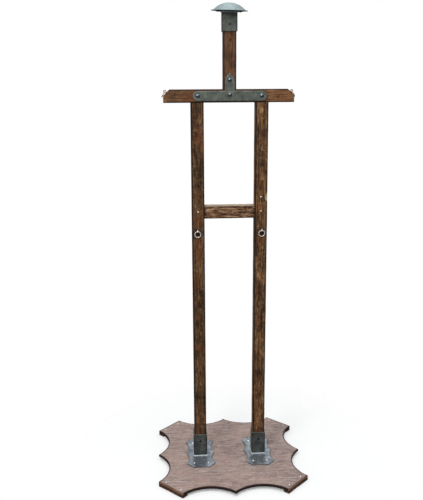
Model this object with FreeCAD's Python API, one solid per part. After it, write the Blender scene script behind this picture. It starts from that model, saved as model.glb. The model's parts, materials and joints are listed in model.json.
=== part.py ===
import FreeCAD, Part

# Wooden stand that displays a suit of armour.
#
# Two square posts rise from steel sockets on a scalloped base board. A shoulder bar joins them at the
# top, a rung joins them lower down, and a neck post on the bar carries a domed steel cap for a helmet.
# Four loose rings hang from screw eyes, for tying the armour on.
#
# Millimetres, +Z up, and the front faces -Y. Left and right are as seen from the front, so the right
# side is +X. The origin is on the floor, under the middle of the base.

import os
from math import asin, cos, pi, radians, sin, sqrt

from FreeCAD import Placement, Rotation, Vector

# Timber: every upright and rail is cut from the same square stock.
STOCK = 49.5
HALF = STOCK / 2
ARRIS = 1.2  # chamfer along the timber's long edges

# Base
BASE_HALF = 302.0
BASE_CORNER_CUT = 94.0
BASE_BITE = 44.0  # how deep each arc bites into the board
STRIP_T = 10.0
STRIP_W = 28.0
BOARD_T = 11.0
BOARD_TOP = STRIP_T + BOARD_T
CORNER_SCREW_NEAR = 214.0  # a corner screw's two distances from the middle of the board
CORNER_SCREW_FAR = 270.0

# Sockets
POST_X = 123.5  # from the middle of the stand to the middle of a post
PLATE_T = 3.0
PLATE_TOP = BOARD_TOP + PLATE_T
PLATE_HALF_X = 60.0
PLATE_HALF_Y = 119.0
PLATE_CUT_X = 29.0
PLATE_CUT_Y = 32.0
PLATE_SIDE_BITE = 11.0
PLATE_END_BITE = 4.0
PLATE_SCREW_X = 29.0
PLATE_SCREW_Y = 84.0
STEEL_EASE = 0.6  # chamfer on the exposed edges of flat steel
TUBE_WALL = 3.0
TUBE_GAP = 0.5  # clearance between the timber and a tube, on each side
TUBE_OUT = STOCK + 2 * (TUBE_GAP + TUBE_WALL)
TUBE_CORNER = 4.0
SOCKET_TOP = 122.0
SOCKET_SCREW_Z = 91.0
WELD_LEG = 4.0
WELD_LIP = 0.3  # thickness of a weld where it fades out along the tube

# Posts and rung
RUNG_BOTTOM = 1050.0
RUNG_MID = RUNG_BOTTOM + HALF
RUNG_SCREW_Z = 1076.5
SPARE_SCREW_Z = 1132.5
CHIP_Z = 1134.0  # middle of a chip in the right post's front outer edge
CHIP_LENGTH = 38.0
CHIP_DEPTH = 5.5

# Shoulder bar and neck
BAR_X = -3.0  # the bar's middle sits this far left of the middle of the stand
BAR_HALF = 248.5
BAR_BOTTOM = 1496.0
BAR_TOP = BAR_BOTTOM + STOCK
BAR_MID = BAR_BOTTOM + HALF
BAR_END_CUT = 24.0
HOUSING = 2.0  # the neck post stands this deep in the top of the bar

# Tenons, and the play round them in their mortises
TENON_W = 30.0
TENON_T = 16.0
TENON_L = 36.0
MORTISE_GAP = 0.2
MORTISE_END_GAP = 1.0

# T strap over the shoulder joint
STRAP_T = 3.0
STRAP_HALF_W = 18.5
STRAP_FRONT = -HALF - STRAP_T
STRAP_BOLT_X = 121.5  # from the middle of the stand to an outer bolt, and to a round end's centre
MIDDLE_BOLT_RISE = 4.0  # the middle bolt sits this far above the other two in the bar
NECK_BOLT_Z = 1579.0
TONGUE_TIP_Z = 1605.0
TONGUE_TAPER = 34.0  # height of the pointed part
TONGUE_SWELL_X = 11.5  # a point on each curved side of the tongue, from its axis and from the taper's foot
TONGUE_SWELL_Z = 22.0

# Head cap
SLEEVE_BOTTOM = 1754.0
CAP_SCREW_Z = 1780.0
CAP_PLATE_BOTTOM = 1825.0
CAP_PLATE_HALF_X = 48.5
CAP_PLATE_HALF_Y = 34.0
CAP_PLATE_CLIP = 6.0
CAP_PLATE_T = 2.5
BRIM_BOTTOM = CAP_PLATE_BOTTOM + CAP_PLATE_T
BRIM_T = 2.0
BRIM_TOP = BRIM_BOTTOM + BRIM_T
BRIM_FLAT_R = 68.5  # the brim's rounded edge starts here
DOME_R = 61.5  # at the dome's foot
DOME_T = 2.0
DOME_TOP = 1857.0
DOME_RISE = DOME_TOP - BRIM_TOP
DOME_BALL = (DOME_R**2 + DOME_RISE**2) / (2 * DOME_RISE)  # radius of the sphere that the dome is cut from
DOME_WELD_LEG = 2.0
RIVET_X = 42.0

# Screw eyes and tie rings
EYE_R = 4.8
EYE_WIRE_R = 1.6
EYE_STAND_OFF = 7.0  # from the timber's face to the middle of the loop
EYE_SHANK_R = 1.7
EYE_SHANK_L = 20.0
EYE_POINT_L = 4.0
POST_EYE_X = 126.5
POST_EYE_Z = 1002.0
RING_R = 11.6
RING_WIRE_R = 1.7
RING_DROP = 1.3  # from the middle of an eye to the middle of the ring's wire
SHOULDER_RING_TILT = 30.0  # degrees from straight down, where the ring leans on the end of the bar

# Screws: head diameter, head height, shank diameter, length under the head
CORNER_SCREW = (7.5, 2.2, 4.0, 18.5)
PLATE_SCREW = (8.5, 2.4, 4.5, 13.0)
SOCKET_SCREW = (9.0, 2.4, 4.5, 20.0)
POST_SCREW = (11.0, 3.0, 5.0, 41.0)
SCREW_SLOT = 1.2
HOLE_EASE = 0.05  # a fastener's hole is this much wider than its shank, on the radius

# Strap bolts and cap rivets
BOLT_R = 3.0
BOLT_HEAD_R = 8.0
BOLT_HEAD_H = 4.0
BOLT_HOLE_R = 3.2
SQUARE_HOLE_HALF = 3.1
BOLT_THREAD_L = 14.0
THREAD_PITCH = 1.0
THREAD_DEPTH = 0.5
WASHER_R = 8.0
WASHER_T = 1.6
NUT_FLATS = 10.0
NUT_T = 5.0
NUT_BEVEL = 0.7
BOLT_TIP_Y = HALF + WASHER_T + NUT_T + 3.0
RIVET_R = 2.0
RIVET_HEAD_R = 4.0
RIVET_HEAD_H = 2.2
RIVET_TAIL_R = 3.6
RIVET_TAIL_H = 2.2

RIGHT = Vector(1, 0, 0)
FRONT = Vector(0, -1, 0)
REAR = Vector(0, 1, 0)
UP = Vector(0, 0, 1)
DOWN = Vector(0, 0, -1)
SIDES = {"left": -1, "right": 1}
ENDS = {"front": -1, "rear": 1}


# ---- shapes ------------------------------------------------------------------------------------


def box(x0, x1, y0, y1, z0, z1):
    """Box between two opposite corners. Each pair may be given in either order."""
    low = Vector(min(x0, x1), min(y0, y1), min(z0, z1))
    return Part.makeBox(abs(x1 - x0), abs(y1 - y0), abs(z1 - z0), low)


def rod(radius, start, end):
    """Round bar between two points."""
    return Part.makeCylinder(radius, (end - start).Length, start, end - start)


def line(start, end):
    """Straight edge."""
    return Part.LineSegment(start, end).toShape()


def arc(start, middle, end):
    """Circular edge through three points."""
    return Part.Arc(start, middle, end).toShape()


def slab(edges, thickness):
    """Solid made by pushing a closed outline along a vector."""
    return Part.Face(Part.Wire(edges)).extrude(thickness)


def turned(profile):
    """Solid made by turning an (r, z) outline about the Z axis.

    A point with a third entry is the middle of an arc between its neighbours.
    """
    edges = []
    here = Vector(profile[0][0], 0, profile[0][1])
    middle = None
    for r, z, *is_middle in profile[1:] + profile[:1]:
        point = Vector(r, 0, z)
        if is_middle:
            middle = point
            continue
        edges.append(arc(here, middle, point) if middle else line(here, point))
        here = point
        middle = None
    return Part.Face(Part.Wire(edges)).revolve(Vector(), UP, 360)


def cap_middle(radius, base, height):
    """Arc middle, for turned(), of a spherical cap's side. The cap may hang down, with height negative."""
    ball = (radius**2 + height**2) / (2 * height)
    half_angle = asin(radius / abs(ball)) / 2
    return (abs(ball) * sin(half_angle), base + height - ball * (1 - cos(half_angle)), "middle")


def placed(shape, position, outward=UP, spin=0.0):
    """Copy of a shape drawn about the origin along +Z, moved and turned so that its +Z points outward."""
    turn = Rotation(UP, outward).multiply(Rotation(UP, spin))
    copy = shape.copy()
    copy.Placement = Placement(position, turn)
    return copy


def shifted(shape, x):
    """Shape drawn about the Z axis, moved sideways."""
    return placed(shape, Vector(x, 0, 0))


def long_edges(shape, length):
    """Straight edges that run a shape's full length."""
    return [e for e in shape.Edges if abs(e.Length - length) < 1e-3]


def edges_at(shape, axis, value):
    """Edges that lie wholly in the plane where a coordinate (0 X, 1 Y, 2 Z) has a value."""
    return [e for e in shape.Edges if all(abs(v.Point[axis] - value) < 1e-4 for v in e.Vertexes)]


def timber(x0, x1, y0, y1, z0, z1):
    """Box of timber with its four long edges eased."""
    solid = box(x0, x1, y0, y1, z0, z1)
    return solid.makeChamfer(ARRIS, long_edges(solid, max(x1 - x0, z1 - z0)))


def rounded_square(side, radius, z):
    """Closed wire of a square with rounded corners, centred on the Z axis."""
    flat = side / 2 - radius
    edges = []
    for quarter in range(4):
        turn = Rotation(UP, 90 * quarter)
        start = turn.multVec(Vector(side / 2, flat, z))
        middle = turn.multVec(Vector(flat + radius * cos(pi / 4), flat + radius * sin(pi / 4), z))
        end = turn.multVec(Vector(flat, side / 2, z))
        edges.append(line(turn.multVec(Vector(side / 2, -flat, z)), start))
        edges.append(arc(start, middle, end))
    return Part.Wire(edges)


def square_tube(bottom, top):
    """Square steel tube that fits over the timber, centred on the Z axis."""
    outer = Part.Face(rounded_square(TUBE_OUT, TUBE_CORNER, bottom))
    inner = Part.Face(rounded_square(TUBE_OUT - 2 * TUBE_WALL, TUBE_CORNER - TUBE_WALL, bottom))
    return outer.cut(inner).extrude(UP * (top - bottom))


def weld_bead(z, rise):
    """Fillet weld round a tube, from a plate at z. It runs up the tube, or down if rise is negative."""
    wide = rounded_square(TUBE_OUT + 2 * WELD_LEG, TUBE_CORNER + WELD_LEG, z)
    narrow = rounded_square(TUBE_OUT + 2 * WELD_LIP, TUBE_CORNER + WELD_LIP, z + rise)
    bead = Part.makeLoft([wide, narrow], True, True)
    core = Part.Face(rounded_square(TUBE_OUT, TUBE_CORNER, min(z, z + rise)))
    return bead.cut(core.extrude(UP * abs(rise)))


def scalloped_slab(half_x, half_y, cut_x, cut_y, bites_x, sag_x, sag_y, z, thickness):
    """Slab with its corners cut off and its sides bitten by arcs that meet in points.

    The front and rear sides have bites_x arcs, each sag_x deep. The other two have two, each sag_y deep.
    """
    runs = [
        (Vector(cut_x - half_x, -half_y, z), Vector(half_x - cut_x, -half_y, z), REAR * sag_x, bites_x),
        (Vector(half_x, cut_y - half_y, z), Vector(half_x, half_y - cut_y, z), RIGHT * -sag_y, 2),
        (Vector(half_x - cut_x, half_y, z), Vector(cut_x - half_x, half_y, z), FRONT * sag_x, bites_x),
        (Vector(-half_x, half_y - cut_y, z), Vector(-half_x, cut_y - half_y, z), RIGHT * sag_y, 2),
    ]
    edges = []
    for i, (start, end, sag, bites) in enumerate(runs):
        step = (end - start) / bites
        for k in range(bites):
            a = start + step * k
            edges.append(arc(a, a + step / 2 + sag, a + step))
        edges.append(line(end, runs[(i + 1) % 4][0]))
    return slab(edges, UP * thickness)


# ---- fasteners ---------------------------------------------------------------------------------


def screw(size):
    """Round-head slotted wood screw. Its head sits on Z = 0 and its shank runs down to a point."""
    head_d, head_h, shank_d, length = size
    head_r = head_d / 2
    r = shank_d / 2
    taper = shank_d - length
    crown = cap_middle(head_r, 0, head_h)
    body = turned([(0, head_h), crown, (head_r, 0), (r, 0), (r, taper), (0, -length)])
    return body.cut(box(-head_d, head_d, -SCREW_SLOT / 2, SCREW_SLOT / 2, head_h / 2, head_h + 1))


def pilot(size):
    """The hole that a screw needs, a hair wider and deeper than its shank."""
    _, _, shank_d, length = size
    r = shank_d / 2 + HOLE_EASE
    taper = shank_d - length - HOLE_EASE
    return turned([(0, 1), (r, 1), (r, taper), (0, -length - 2 * HOLE_EASE)])


def screws(size, spots, first_turn, turn_step):
    """One screw in each spot, with their slots left at different angles."""
    made = screw(size)
    return [placed(made, p, out, first_turn + turn_step * i) for i, (p, out) in enumerate(spots)]


def pilots(size, spots):
    """The holes for screws() in the same spots."""
    made = pilot(size)
    return [placed(made, p, out) for p, out in spots]


def carriage_bolt():
    """Dome-head bolt with a square neck. Its head sits on Z = 0 and its threaded shank runs down."""
    length = BOLT_TIP_Y - STRAP_FRONT
    crown = cap_middle(BOLT_HEAD_R, 0, BOLT_HEAD_H)
    head = turned([(0, BOLT_HEAD_H), crown, (BOLT_HEAD_R, 0), (0, 0)])
    neck = box(-BOLT_R, BOLT_R, -BOLT_R, BOLT_R, -STRAP_T, 0)
    profile = [(0, 0), (BOLT_R, 0)]
    z = BOLT_THREAD_L - length
    while z > 1.5 * THREAD_PITCH - length:
        profile.append((BOLT_R, z))
        profile.append((BOLT_R - THREAD_DEPTH, z - THREAD_PITCH / 2))
        z -= THREAD_PITCH
    profile += [(BOLT_R, z), (BOLT_R - THREAD_DEPTH, -length), (0, -length)]
    return head.fuse([neck, turned(profile)]).removeSplitter()


def washer():
    """Plain washer that sits on Z = 0."""
    return rod(WASHER_R, Vector(), UP * WASHER_T).cut(rod(BOLT_HOLE_R, Vector(), UP * WASHER_T))


def nut():
    """Hexagon nut that sits on Z = 0, with its outer corners rounded off."""
    r = NUT_FLATS / sqrt(3)
    corners = [Vector(r * cos(radians(a)), r * sin(radians(a)), 0) for a in range(0, 361, 60)]
    prism = Part.Face(Part.makePolygon(corners)).extrude(UP * NUT_T)
    bell = turned([(0, 0), (r, 0), (r, NUT_T - NUT_BEVEL), (NUT_FLATS / 2, NUT_T), (0, NUT_T)])
    return prism.common(bell).cut(rod(BOLT_R + HOLE_EASE, Vector(), UP * NUT_T))


def rivet():
    """Rivet through the cap's plate and brim, drawn with the plate's underside at Z = 0."""
    grip = CAP_PLATE_T + BRIM_T
    return turned(
        [
            (0, grip + RIVET_HEAD_H),
            cap_middle(RIVET_HEAD_R, grip, RIVET_HEAD_H),
            (RIVET_HEAD_R, grip),
            (RIVET_R, grip),
            (RIVET_R, 0),
            (RIVET_TAIL_R, 0),
            cap_middle(RIVET_TAIL_R, 0, -RIVET_TAIL_H),
            (0, -RIVET_TAIL_H),
        ]
    )


def screw_eye():
    """Screw eye with the timber's face at Z = 0. Its shank runs down and its hole faces along X."""
    middle = UP * EYE_STAND_OFF
    loop = Part.makeTorus(EYE_R, EYE_WIRE_R, middle, RIGHT)
    shank = rod(EYE_SHANK_R, DOWN * EYE_SHANK_L, middle - UP * EYE_R)
    point = Part.makeCone(0, EYE_SHANK_R, EYE_POINT_L, DOWN * (EYE_SHANK_L + EYE_POINT_L))
    return loop.fuse([shank, point]).removeSplitter()


def eye_hole():
    """The hole that a screw eye's shank needs."""
    return rod(EYE_SHANK_R + HOLE_EASE, DOWN * (EYE_SHANK_L + EYE_POINT_L + HOLE_EASE), UP)


def tie_ring(eye_middle, hang, through):
    """Loose ring in a screw eye, given the way it hangs and the way its wire passes through the eye."""
    centre = eye_middle + hang * (RING_DROP + RING_R)
    return Part.makeTorus(RING_R, RING_WIRE_R, centre, hang.cross(through))


# ---- where the fasteners go: each spot is (position on the surface, the way it faces) ------------


def corner_spots():
    """Screws through the base board into the corner strips."""
    near_far = (CORNER_SCREW_NEAR, CORNER_SCREW_FAR)
    pairs = (near_far, near_far[::-1])
    signs = [(sx, sy) for sx in (-1, 1) for sy in (-1, 1)]
    return [(Vector(sx * x, sy * y, BOARD_TOP), UP) for sx, sy in signs for x, y in pairs]


def plate_spots(side):
    """Screws through a socket plate into the base board."""
    signs = [(sx, sy) for sx in (-1, 1) for sy in (-1, 1)]
    middle = Vector(side * POST_X, 0, PLATE_TOP)
    return [(middle + Vector(sx * PLATE_SCREW_X, sy * PLATE_SCREW_Y, 0), UP) for sx, sy in signs]


def tube_spots(x, z):
    """Front and rear screws through a tube's walls into the timber."""
    return [(Vector(x, -TUBE_OUT / 2, z), FRONT), (Vector(x, TUBE_OUT / 2, z), REAR)]


def rung_spots():
    """Screws through the posts into the rung's tenons."""
    return [(Vector(side * POST_X, -HALF, RUNG_SCREW_Z), FRONT) for side in SIDES.values()]


def spare_spot():
    """The extra screw in the right post, above the rung."""
    return (Vector(POST_X, -HALF, SPARE_SCREW_Z), FRONT)


def bar_bolt_spots(y):
    """Where the left, middle and right bolts cross the shoulder bar, at a given y."""
    middle = Vector(0, y, BAR_MID + MIDDLE_BOLT_RISE)
    return [Vector(-STRAP_BOLT_X, y, BAR_MID), middle, Vector(STRAP_BOLT_X, y, BAR_MID)]


def neck_bolt_spot(y):
    """Where the fourth bolt crosses the neck post, at a given y."""
    return Vector(0, y, NECK_BOLT_Z)


def bolt_spots(y):
    """All four strap bolts, at a given y."""
    return bar_bolt_spots(y) + [neck_bolt_spot(y)]


def bolt_holes(spots):
    """Holes for strap bolts through the full depth of the timber, from spots on its front."""
    return [rod(BOLT_HOLE_R, p, p + REAR * STOCK) for p in spots]


def post_eye_spot(side):
    """Screw eye in the front of a post."""
    return (Vector(side * POST_EYE_X, -HALF, POST_EYE_Z), FRONT)


def shoulder_eye_spot(side):
    """Screw eye in the sloping cut end of the shoulder bar."""
    middle = Vector(BAR_X + side * (BAR_HALF - BAR_END_CUT / 2), 0, BAR_TOP - BAR_END_CUT / 2)
    return (middle, Vector(side, 0, 1).normalize())


# ---- base --------------------------------------------------------------------------------------


def base_board():
    """Board with cut corners and two arcs bitten out of each side."""
    half, cut, bite = BASE_HALF, BASE_CORNER_CUT, BASE_BITE
    board = scalloped_slab(half, half, cut, cut, 2, bite, bite, STRIP_T, BOARD_T)
    holes = pilots(CORNER_SCREW, corner_spots())
    for side in SIDES.values():
        holes += pilots(PLATE_SCREW, plate_spots(side))
    return board.cut(holes)


def corner_strip(sx, sy):
    """Strip under one cut corner of the board. The stand rests on all four."""
    half_length = (BASE_CORNER_CUT * sqrt(2) - 1) / 2
    strip = box(-half_length, half_length, -STRIP_W, 0, 0, STRIP_T)
    middle = BASE_HALF - BASE_CORNER_CUT / 2
    strip.Placement = Placement(Vector(sx * middle, sy * middle, 0), Rotation(REAR, Vector(sx, sy, 0)))
    holes = [h for h in pilots(CORNER_SCREW, corner_spots()) if h.common(strip).Volume > 0]
    return strip.cut(holes)


def socket_plate(side):
    """Steel plate under a post, cut in the same style as the base board."""
    cuts = (PLATE_CUT_X, PLATE_CUT_Y)
    bites = (PLATE_END_BITE, PLATE_SIDE_BITE)
    plate = scalloped_slab(PLATE_HALF_X, PLATE_HALF_Y, *cuts, 1, *bites, BOARD_TOP, PLATE_T)
    plate = plate.makeChamfer(STEEL_EASE, edges_at(plate, 2, PLATE_TOP))
    return shifted(plate, side * POST_X).cut(pilots(PLATE_SCREW, plate_spots(side)))


def socket_tube(side):
    """Square tube that holds a post's foot."""
    tube = shifted(square_tube(PLATE_TOP, SOCKET_TOP), side * POST_X)
    return tube.cut(pilots(SOCKET_SCREW, tube_spots(side * POST_X, SOCKET_SCREW_Z)))


# ---- timber ------------------------------------------------------------------------------------


def upright_tenon(x, z0, z1):
    """Tenon on the end of an upright at x, or its mortise's core."""
    return box(x - TENON_W / 2, x + TENON_W / 2, -TENON_T / 2, TENON_T / 2, z0, z1)


def upright_mortise(x, mouth, depth):
    """Mortise for upright_tenon(), from its mouth. It goes down if depth is negative."""
    half_w = TENON_W / 2 + MORTISE_GAP
    half_t = TENON_T / 2 + MORTISE_GAP
    return box(x - half_w, x + half_w, -half_t, half_t, mouth, mouth + depth)


def post(side):
    """Upright with a tenon at its top and a mortise for the rung. The right one has a chipped edge."""
    x = side * POST_X
    shaft = timber(x - HALF, x + HALF, -HALF, HALF, PLATE_TOP, BAR_BOTTOM)
    shaft = shaft.fuse(upright_tenon(x, BAR_BOTTOM - 1, BAR_BOTTOM + TENON_L)).removeSplitter()
    inner_face = x - side * HALF
    bottom = inner_face + side * (TENON_L + MORTISE_END_GAP)
    half_w = TENON_W / 2 + MORTISE_GAP
    half_t = TENON_T / 2 + MORTISE_GAP
    cuts = [box(inner_face, bottom, -half_t, half_t, RUNG_MID - half_w, RUNG_MID + half_w)]
    cuts += bolt_holes(bar_bolt_spots(-HALF))
    cuts.append(placed(eye_hole(), *post_eye_spot(side)))
    cuts += pilots(SOCKET_SCREW, tube_spots(x, SOCKET_SCREW_Z))
    cuts += pilots(POST_SCREW, rung_spots())
    if side == SIDES["right"]:
        cuts += pilots(POST_SCREW, [spare_spot()])
        cuts.append(chip())
    return shaft.cut(cuts)


def chip():
    """Roller that scoops a shallow chip out of the right post's front outer edge."""
    radius = (CHIP_LENGTH**2 / 4 + CHIP_DEPTH**2) / (2 * CHIP_DEPTH)
    outward = Vector(1, -1, 0).normalize()
    across = Vector(1, 1, 0).normalize() * STOCK
    centre = Vector(POST_X + HALF, -HALF, CHIP_Z) + outward * (radius - CHIP_DEPTH)
    return rod(radius, centre - across, centre + across)


def rung():
    """Rail between the posts, with a tenon in each."""
    reach = POST_X - HALF
    end = reach + TENON_L
    rail = timber(-reach, reach, -HALF, HALF, RUNG_BOTTOM, RUNG_BOTTOM + STOCK)
    low, high = RUNG_MID - TENON_W / 2, RUNG_MID + TENON_W / 2
    tenons = box(-end, end, -TENON_T / 2, TENON_T / 2, low, high)
    return rail.fuse(tenons).removeSplitter().cut(pilots(POST_SCREW, rung_spots()))


def shoulder_bar():
    """Bar across the top of the posts, with its upper corners cut off and the neck post let in."""
    bar = timber(BAR_X - BAR_HALF, BAR_X + BAR_HALF, -HALF, HALF, BAR_BOTTOM, BAR_TOP)
    depth = TENON_L + MORTISE_END_GAP
    cuts = [box(-HALF, HALF, -STOCK, STOCK, BAR_TOP - HOUSING, BAR_TOP + 1)]
    cuts.append(upright_mortise(0, BAR_TOP - HOUSING, -depth))
    cuts += bolt_holes(bar_bolt_spots(-HALF))
    for side in SIDES.values():
        tip = Vector(BAR_X + side * BAR_HALF, -STOCK, BAR_TOP)
        inner = tip - RIGHT * side * BAR_END_CUT
        lower = tip - UP * BAR_END_CUT
        cuts.append(slab([line(tip, inner), line(inner, lower), line(lower, tip)], REAR * 2 * STOCK))
        cuts.append(upright_mortise(side * POST_X, BAR_BOTTOM, depth))
        cuts.append(placed(eye_hole(), *shoulder_eye_spot(side)))
    return bar.cut(cuts)


def neck_post():
    """Short upright that stands in the shoulder bar and carries the head cap."""
    foot = BAR_TOP - HOUSING
    shaft = timber(-HALF, HALF, -HALF, HALF, foot, CAP_PLATE_BOTTOM - MORTISE_END_GAP)
    shaft = shaft.fuse(upright_tenon(0, foot - TENON_L, foot + 1)).removeSplitter()
    cuts = bolt_holes(bolt_spots(-HALF)) + pilots(SOCKET_SCREW, tube_spots(0, CAP_SCREW_Z))
    return shaft.cut(cuts)


# ---- T strap -----------------------------------------------------------------------------------


def square_hole(spot):
    """Hole through a strap for a bolt's square neck."""
    h = SQUARE_HOLE_HALF
    return box(spot.x - h, spot.x + h, -HALF, STRAP_FRONT, spot.z - h, spot.z + h)


def shoulder_strap():
    """Flat bar along the shoulder, with a round end over each post."""
    low, high = BAR_MID - STRAP_HALF_W, BAR_MID + STRAP_HALF_W
    a = Vector(-STRAP_BOLT_X, STRAP_FRONT, low)
    b = Vector(STRAP_BOLT_X, STRAP_FRONT, low)
    c = Vector(STRAP_BOLT_X, STRAP_FRONT, high)
    d = Vector(-STRAP_BOLT_X, STRAP_FRONT, high)
    right_end = Vector(STRAP_BOLT_X + STRAP_HALF_W, STRAP_FRONT, BAR_MID)
    left_end = Vector(-STRAP_BOLT_X - STRAP_HALF_W, STRAP_FRONT, BAR_MID)
    strap = slab([line(a, b), arc(b, right_end, c), line(c, d), arc(d, left_end, a)], REAR * STRAP_T)
    strap = strap.makeChamfer(STEEL_EASE, edges_at(strap, 1, STRAP_FRONT))
    return strap.cut([square_hole(spot) for spot in bar_bolt_spots(0)])


def neck_strap():
    """Flat bar up the neck, welded to the shoulder strap's top edge, with a pointed arch for a top."""
    foot = BAR_MID + STRAP_HALF_W
    spring = TONGUE_TIP_Z - TONGUE_TAPER
    a = Vector(-STRAP_HALF_W, STRAP_FRONT, foot)
    b = Vector(STRAP_HALF_W, STRAP_FRONT, foot)
    c = Vector(STRAP_HALF_W, STRAP_FRONT, spring)
    d = Vector(-STRAP_HALF_W, STRAP_FRONT, spring)
    tip = Vector(0, STRAP_FRONT, TONGUE_TIP_Z)
    right_swell = Vector(TONGUE_SWELL_X, STRAP_FRONT, spring + TONGUE_SWELL_Z)
    left_swell = Vector(-TONGUE_SWELL_X, STRAP_FRONT, spring + TONGUE_SWELL_Z)
    edges = [line(a, b), line(b, c), arc(c, right_swell, tip), arc(tip, left_swell, d), line(d, a)]
    return slab(edges, REAR * STRAP_T).cut(square_hole(neck_bolt_spot(0)))


# ---- head cap ----------------------------------------------------------------------------------


def cap_sleeve():
    """Square tube over the top of the neck post."""
    return square_tube(SLEEVE_BOTTOM, CAP_PLATE_BOTTOM).cut(pilots(SOCKET_SCREW, tube_spots(0, CAP_SCREW_Z)))


def rivet_spots():
    """Where each rivet passes the underside of the cap's plate."""
    return [Vector(side * RIVET_X, 0, CAP_PLATE_BOTTOM) for side in SIDES.values()]


def rivet_holes():
    """Holes for the rivets through the plate and the brim."""
    return [rod(RIVET_R + HOLE_EASE, p, p + UP * (CAP_PLATE_T + BRIM_T)) for p in rivet_spots()]


def cap_plate():
    """Plate welded on the sleeve and riveted to the brim. Its corners are clipped."""
    x, y = CAP_PLATE_HALF_X, CAP_PLATE_HALF_Y
    plate = box(-x, x, -y, y, CAP_PLATE_BOTTOM, BRIM_BOTTOM)
    plate = plate.makeChamfer(CAP_PLATE_CLIP, long_edges(plate, CAP_PLATE_T))
    return plate.cut(rivet_holes())


def cap_brim():
    """Flat steel disc with a rounded edge. The dome sits on it, over the rivets' heads."""
    edge_middle = (BRIM_FLAT_R + BRIM_T / 2, BRIM_BOTTOM + BRIM_T / 2, "middle")
    top, bottom = (BRIM_FLAT_R, BRIM_TOP), (BRIM_FLAT_R, BRIM_BOTTOM)
    return turned([(0, BRIM_TOP), top, edge_middle, bottom, (0, BRIM_BOTTOM)]).cut(rivet_holes())


def dome_radius(z):
    """Radius of the dome's outside at a height."""
    drop = DOME_TOP - z
    return sqrt(2 * DOME_BALL * drop - drop**2)


def cap_dome():
    """Domed steel cap of even thickness, open below."""
    inner_r = sqrt((DOME_BALL - DOME_T) ** 2 - (DOME_BALL - DOME_RISE) ** 2)
    return turned(
        [
            (0, DOME_TOP),
            cap_middle(DOME_R, BRIM_TOP, DOME_RISE),
            (DOME_R, BRIM_TOP),
            (inner_r, BRIM_TOP),
            cap_middle(inner_r, BRIM_TOP, DOME_RISE - DOME_T),
            (0, DOME_TOP - DOME_T),
        ]
    )


def cap_dome_weld():
    """Small fillet weld round the dome's foot."""
    middle, top = BRIM_TOP + DOME_WELD_LEG / 2, BRIM_TOP + DOME_WELD_LEG
    on_dome = [(dome_radius(middle), middle, "middle"), (dome_radius(top), top)]
    return turned([(DOME_R, BRIM_TOP)] + on_dome + [(DOME_R + DOME_WELD_LEG, BRIM_TOP)])


# ---- nodes: each is one solid, or a list of separate ones ----------------------------------------


def base_nodes():
    """The board, the strips under it, and their screws."""
    nodes = {"base_board": base_board()}
    for end, sy in ENDS.items():
        for name, sx in SIDES.items():
            nodes[f"corner_strip_{end}_{name}"] = corner_strip(sx, sy)
    nodes["corner_screws"] = screws(CORNER_SCREW, corner_spots(), 25, 47)
    return nodes


def side_nodes(name, side):
    """Everything that the stand has one of on each side."""
    x = side * POST_X
    eye_spot, eye_out = post_eye_spot(side)
    tip_spot, tip_out = shoulder_eye_spot(side)
    tilt = radians(SHOULDER_RING_TILT)
    lean = Vector(side * sin(tilt), 0, -cos(tilt))
    return {
        f"socket_plate_{name}": socket_plate(side),
        f"socket_tube_{name}": socket_tube(side),
        f"socket_weld_{name}": shifted(weld_bead(PLATE_TOP, WELD_LEG), x),
        f"socket_plate_screws_{name}": screws(PLATE_SCREW, plate_spots(side), 20 * side, 65),
        f"socket_tube_screws_{name}": screws(SOCKET_SCREW, tube_spots(x, SOCKET_SCREW_Z), 30 * side, 50),
        f"post_{name}": post(side),
        f"post_eye_{name}": placed(screw_eye(), eye_spot, eye_out),
        f"post_ring_{name}": tie_ring(eye_spot + eye_out * EYE_STAND_OFF, DOWN, RIGHT),
        f"shoulder_eye_{name}": placed(screw_eye(), tip_spot, tip_out, 90),
        f"shoulder_ring_{name}": tie_ring(tip_spot + tip_out * EYE_STAND_OFF, lean, REAR),
    }


def frame_nodes():
    """The rung, the shoulder bar, the neck post, and the strap that holds them."""
    return {
        "rung": rung(),
        "rung_screws": screws(POST_SCREW, rung_spots(), 40, 75),
        "spare_post_screw": screws(POST_SCREW, [spare_spot()], 55, 0),
        "shoulder_bar": shoulder_bar(),
        "neck_post": neck_post(),
        "shoulder_strap": shoulder_strap(),
        "neck_strap": neck_strap(),
        "strap_bolts": [placed(carriage_bolt(), p, FRONT) for p in bolt_spots(STRAP_FRONT)],
        "strap_washers": [placed(washer(), p, REAR) for p in bolt_spots(HALF)],
        "strap_nuts": [placed(nut(), p, REAR, p.x + p.z) for p in bolt_spots(HALF + WASHER_T)],
    }


def cap_nodes():
    """The head cap and its fasteners."""
    return {
        "cap_sleeve": cap_sleeve(),
        "cap_weld": weld_bead(CAP_PLATE_BOTTOM, -WELD_LEG),
        "cap_plate": cap_plate(),
        "cap_brim": cap_brim(),
        "cap_dome": cap_dome(),
        "cap_dome_weld": cap_dome_weld(),
        "cap_rivets": [placed(rivet(), p) for p in rivet_spots()],
        "cap_screws": screws(SOCKET_SCREW, tube_spots(0, CAP_SCREW_Z), 12, 50),
    }


def main():
    """Write one STEP file for each node."""
    nodes = base_nodes() | frame_nodes() | cap_nodes()
    for name, side in SIDES.items():
        nodes |= side_nodes(name, side)
    os.makedirs("parts", exist_ok=True)
    for name, made in nodes.items():
        shape = Part.makeCompound(made) if isinstance(made, list) else made
        shape.exportStep(f"parts/{name}.step")


main()
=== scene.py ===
# Looks of the wooden armour display stand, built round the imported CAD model.
#
# Metres, +Z up, and the front faces -Y. Timber, sheet steel, welds and rings are rebuilt here with wear,
# dents, cracks and ripples. Small fasteners keep their CAD shape and get a better finish.

import json
import math

import bpy
import numpy as np
from mathutils import Matrix, Vector
from mathutils.geometry import delaunay_2d_cdt


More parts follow.
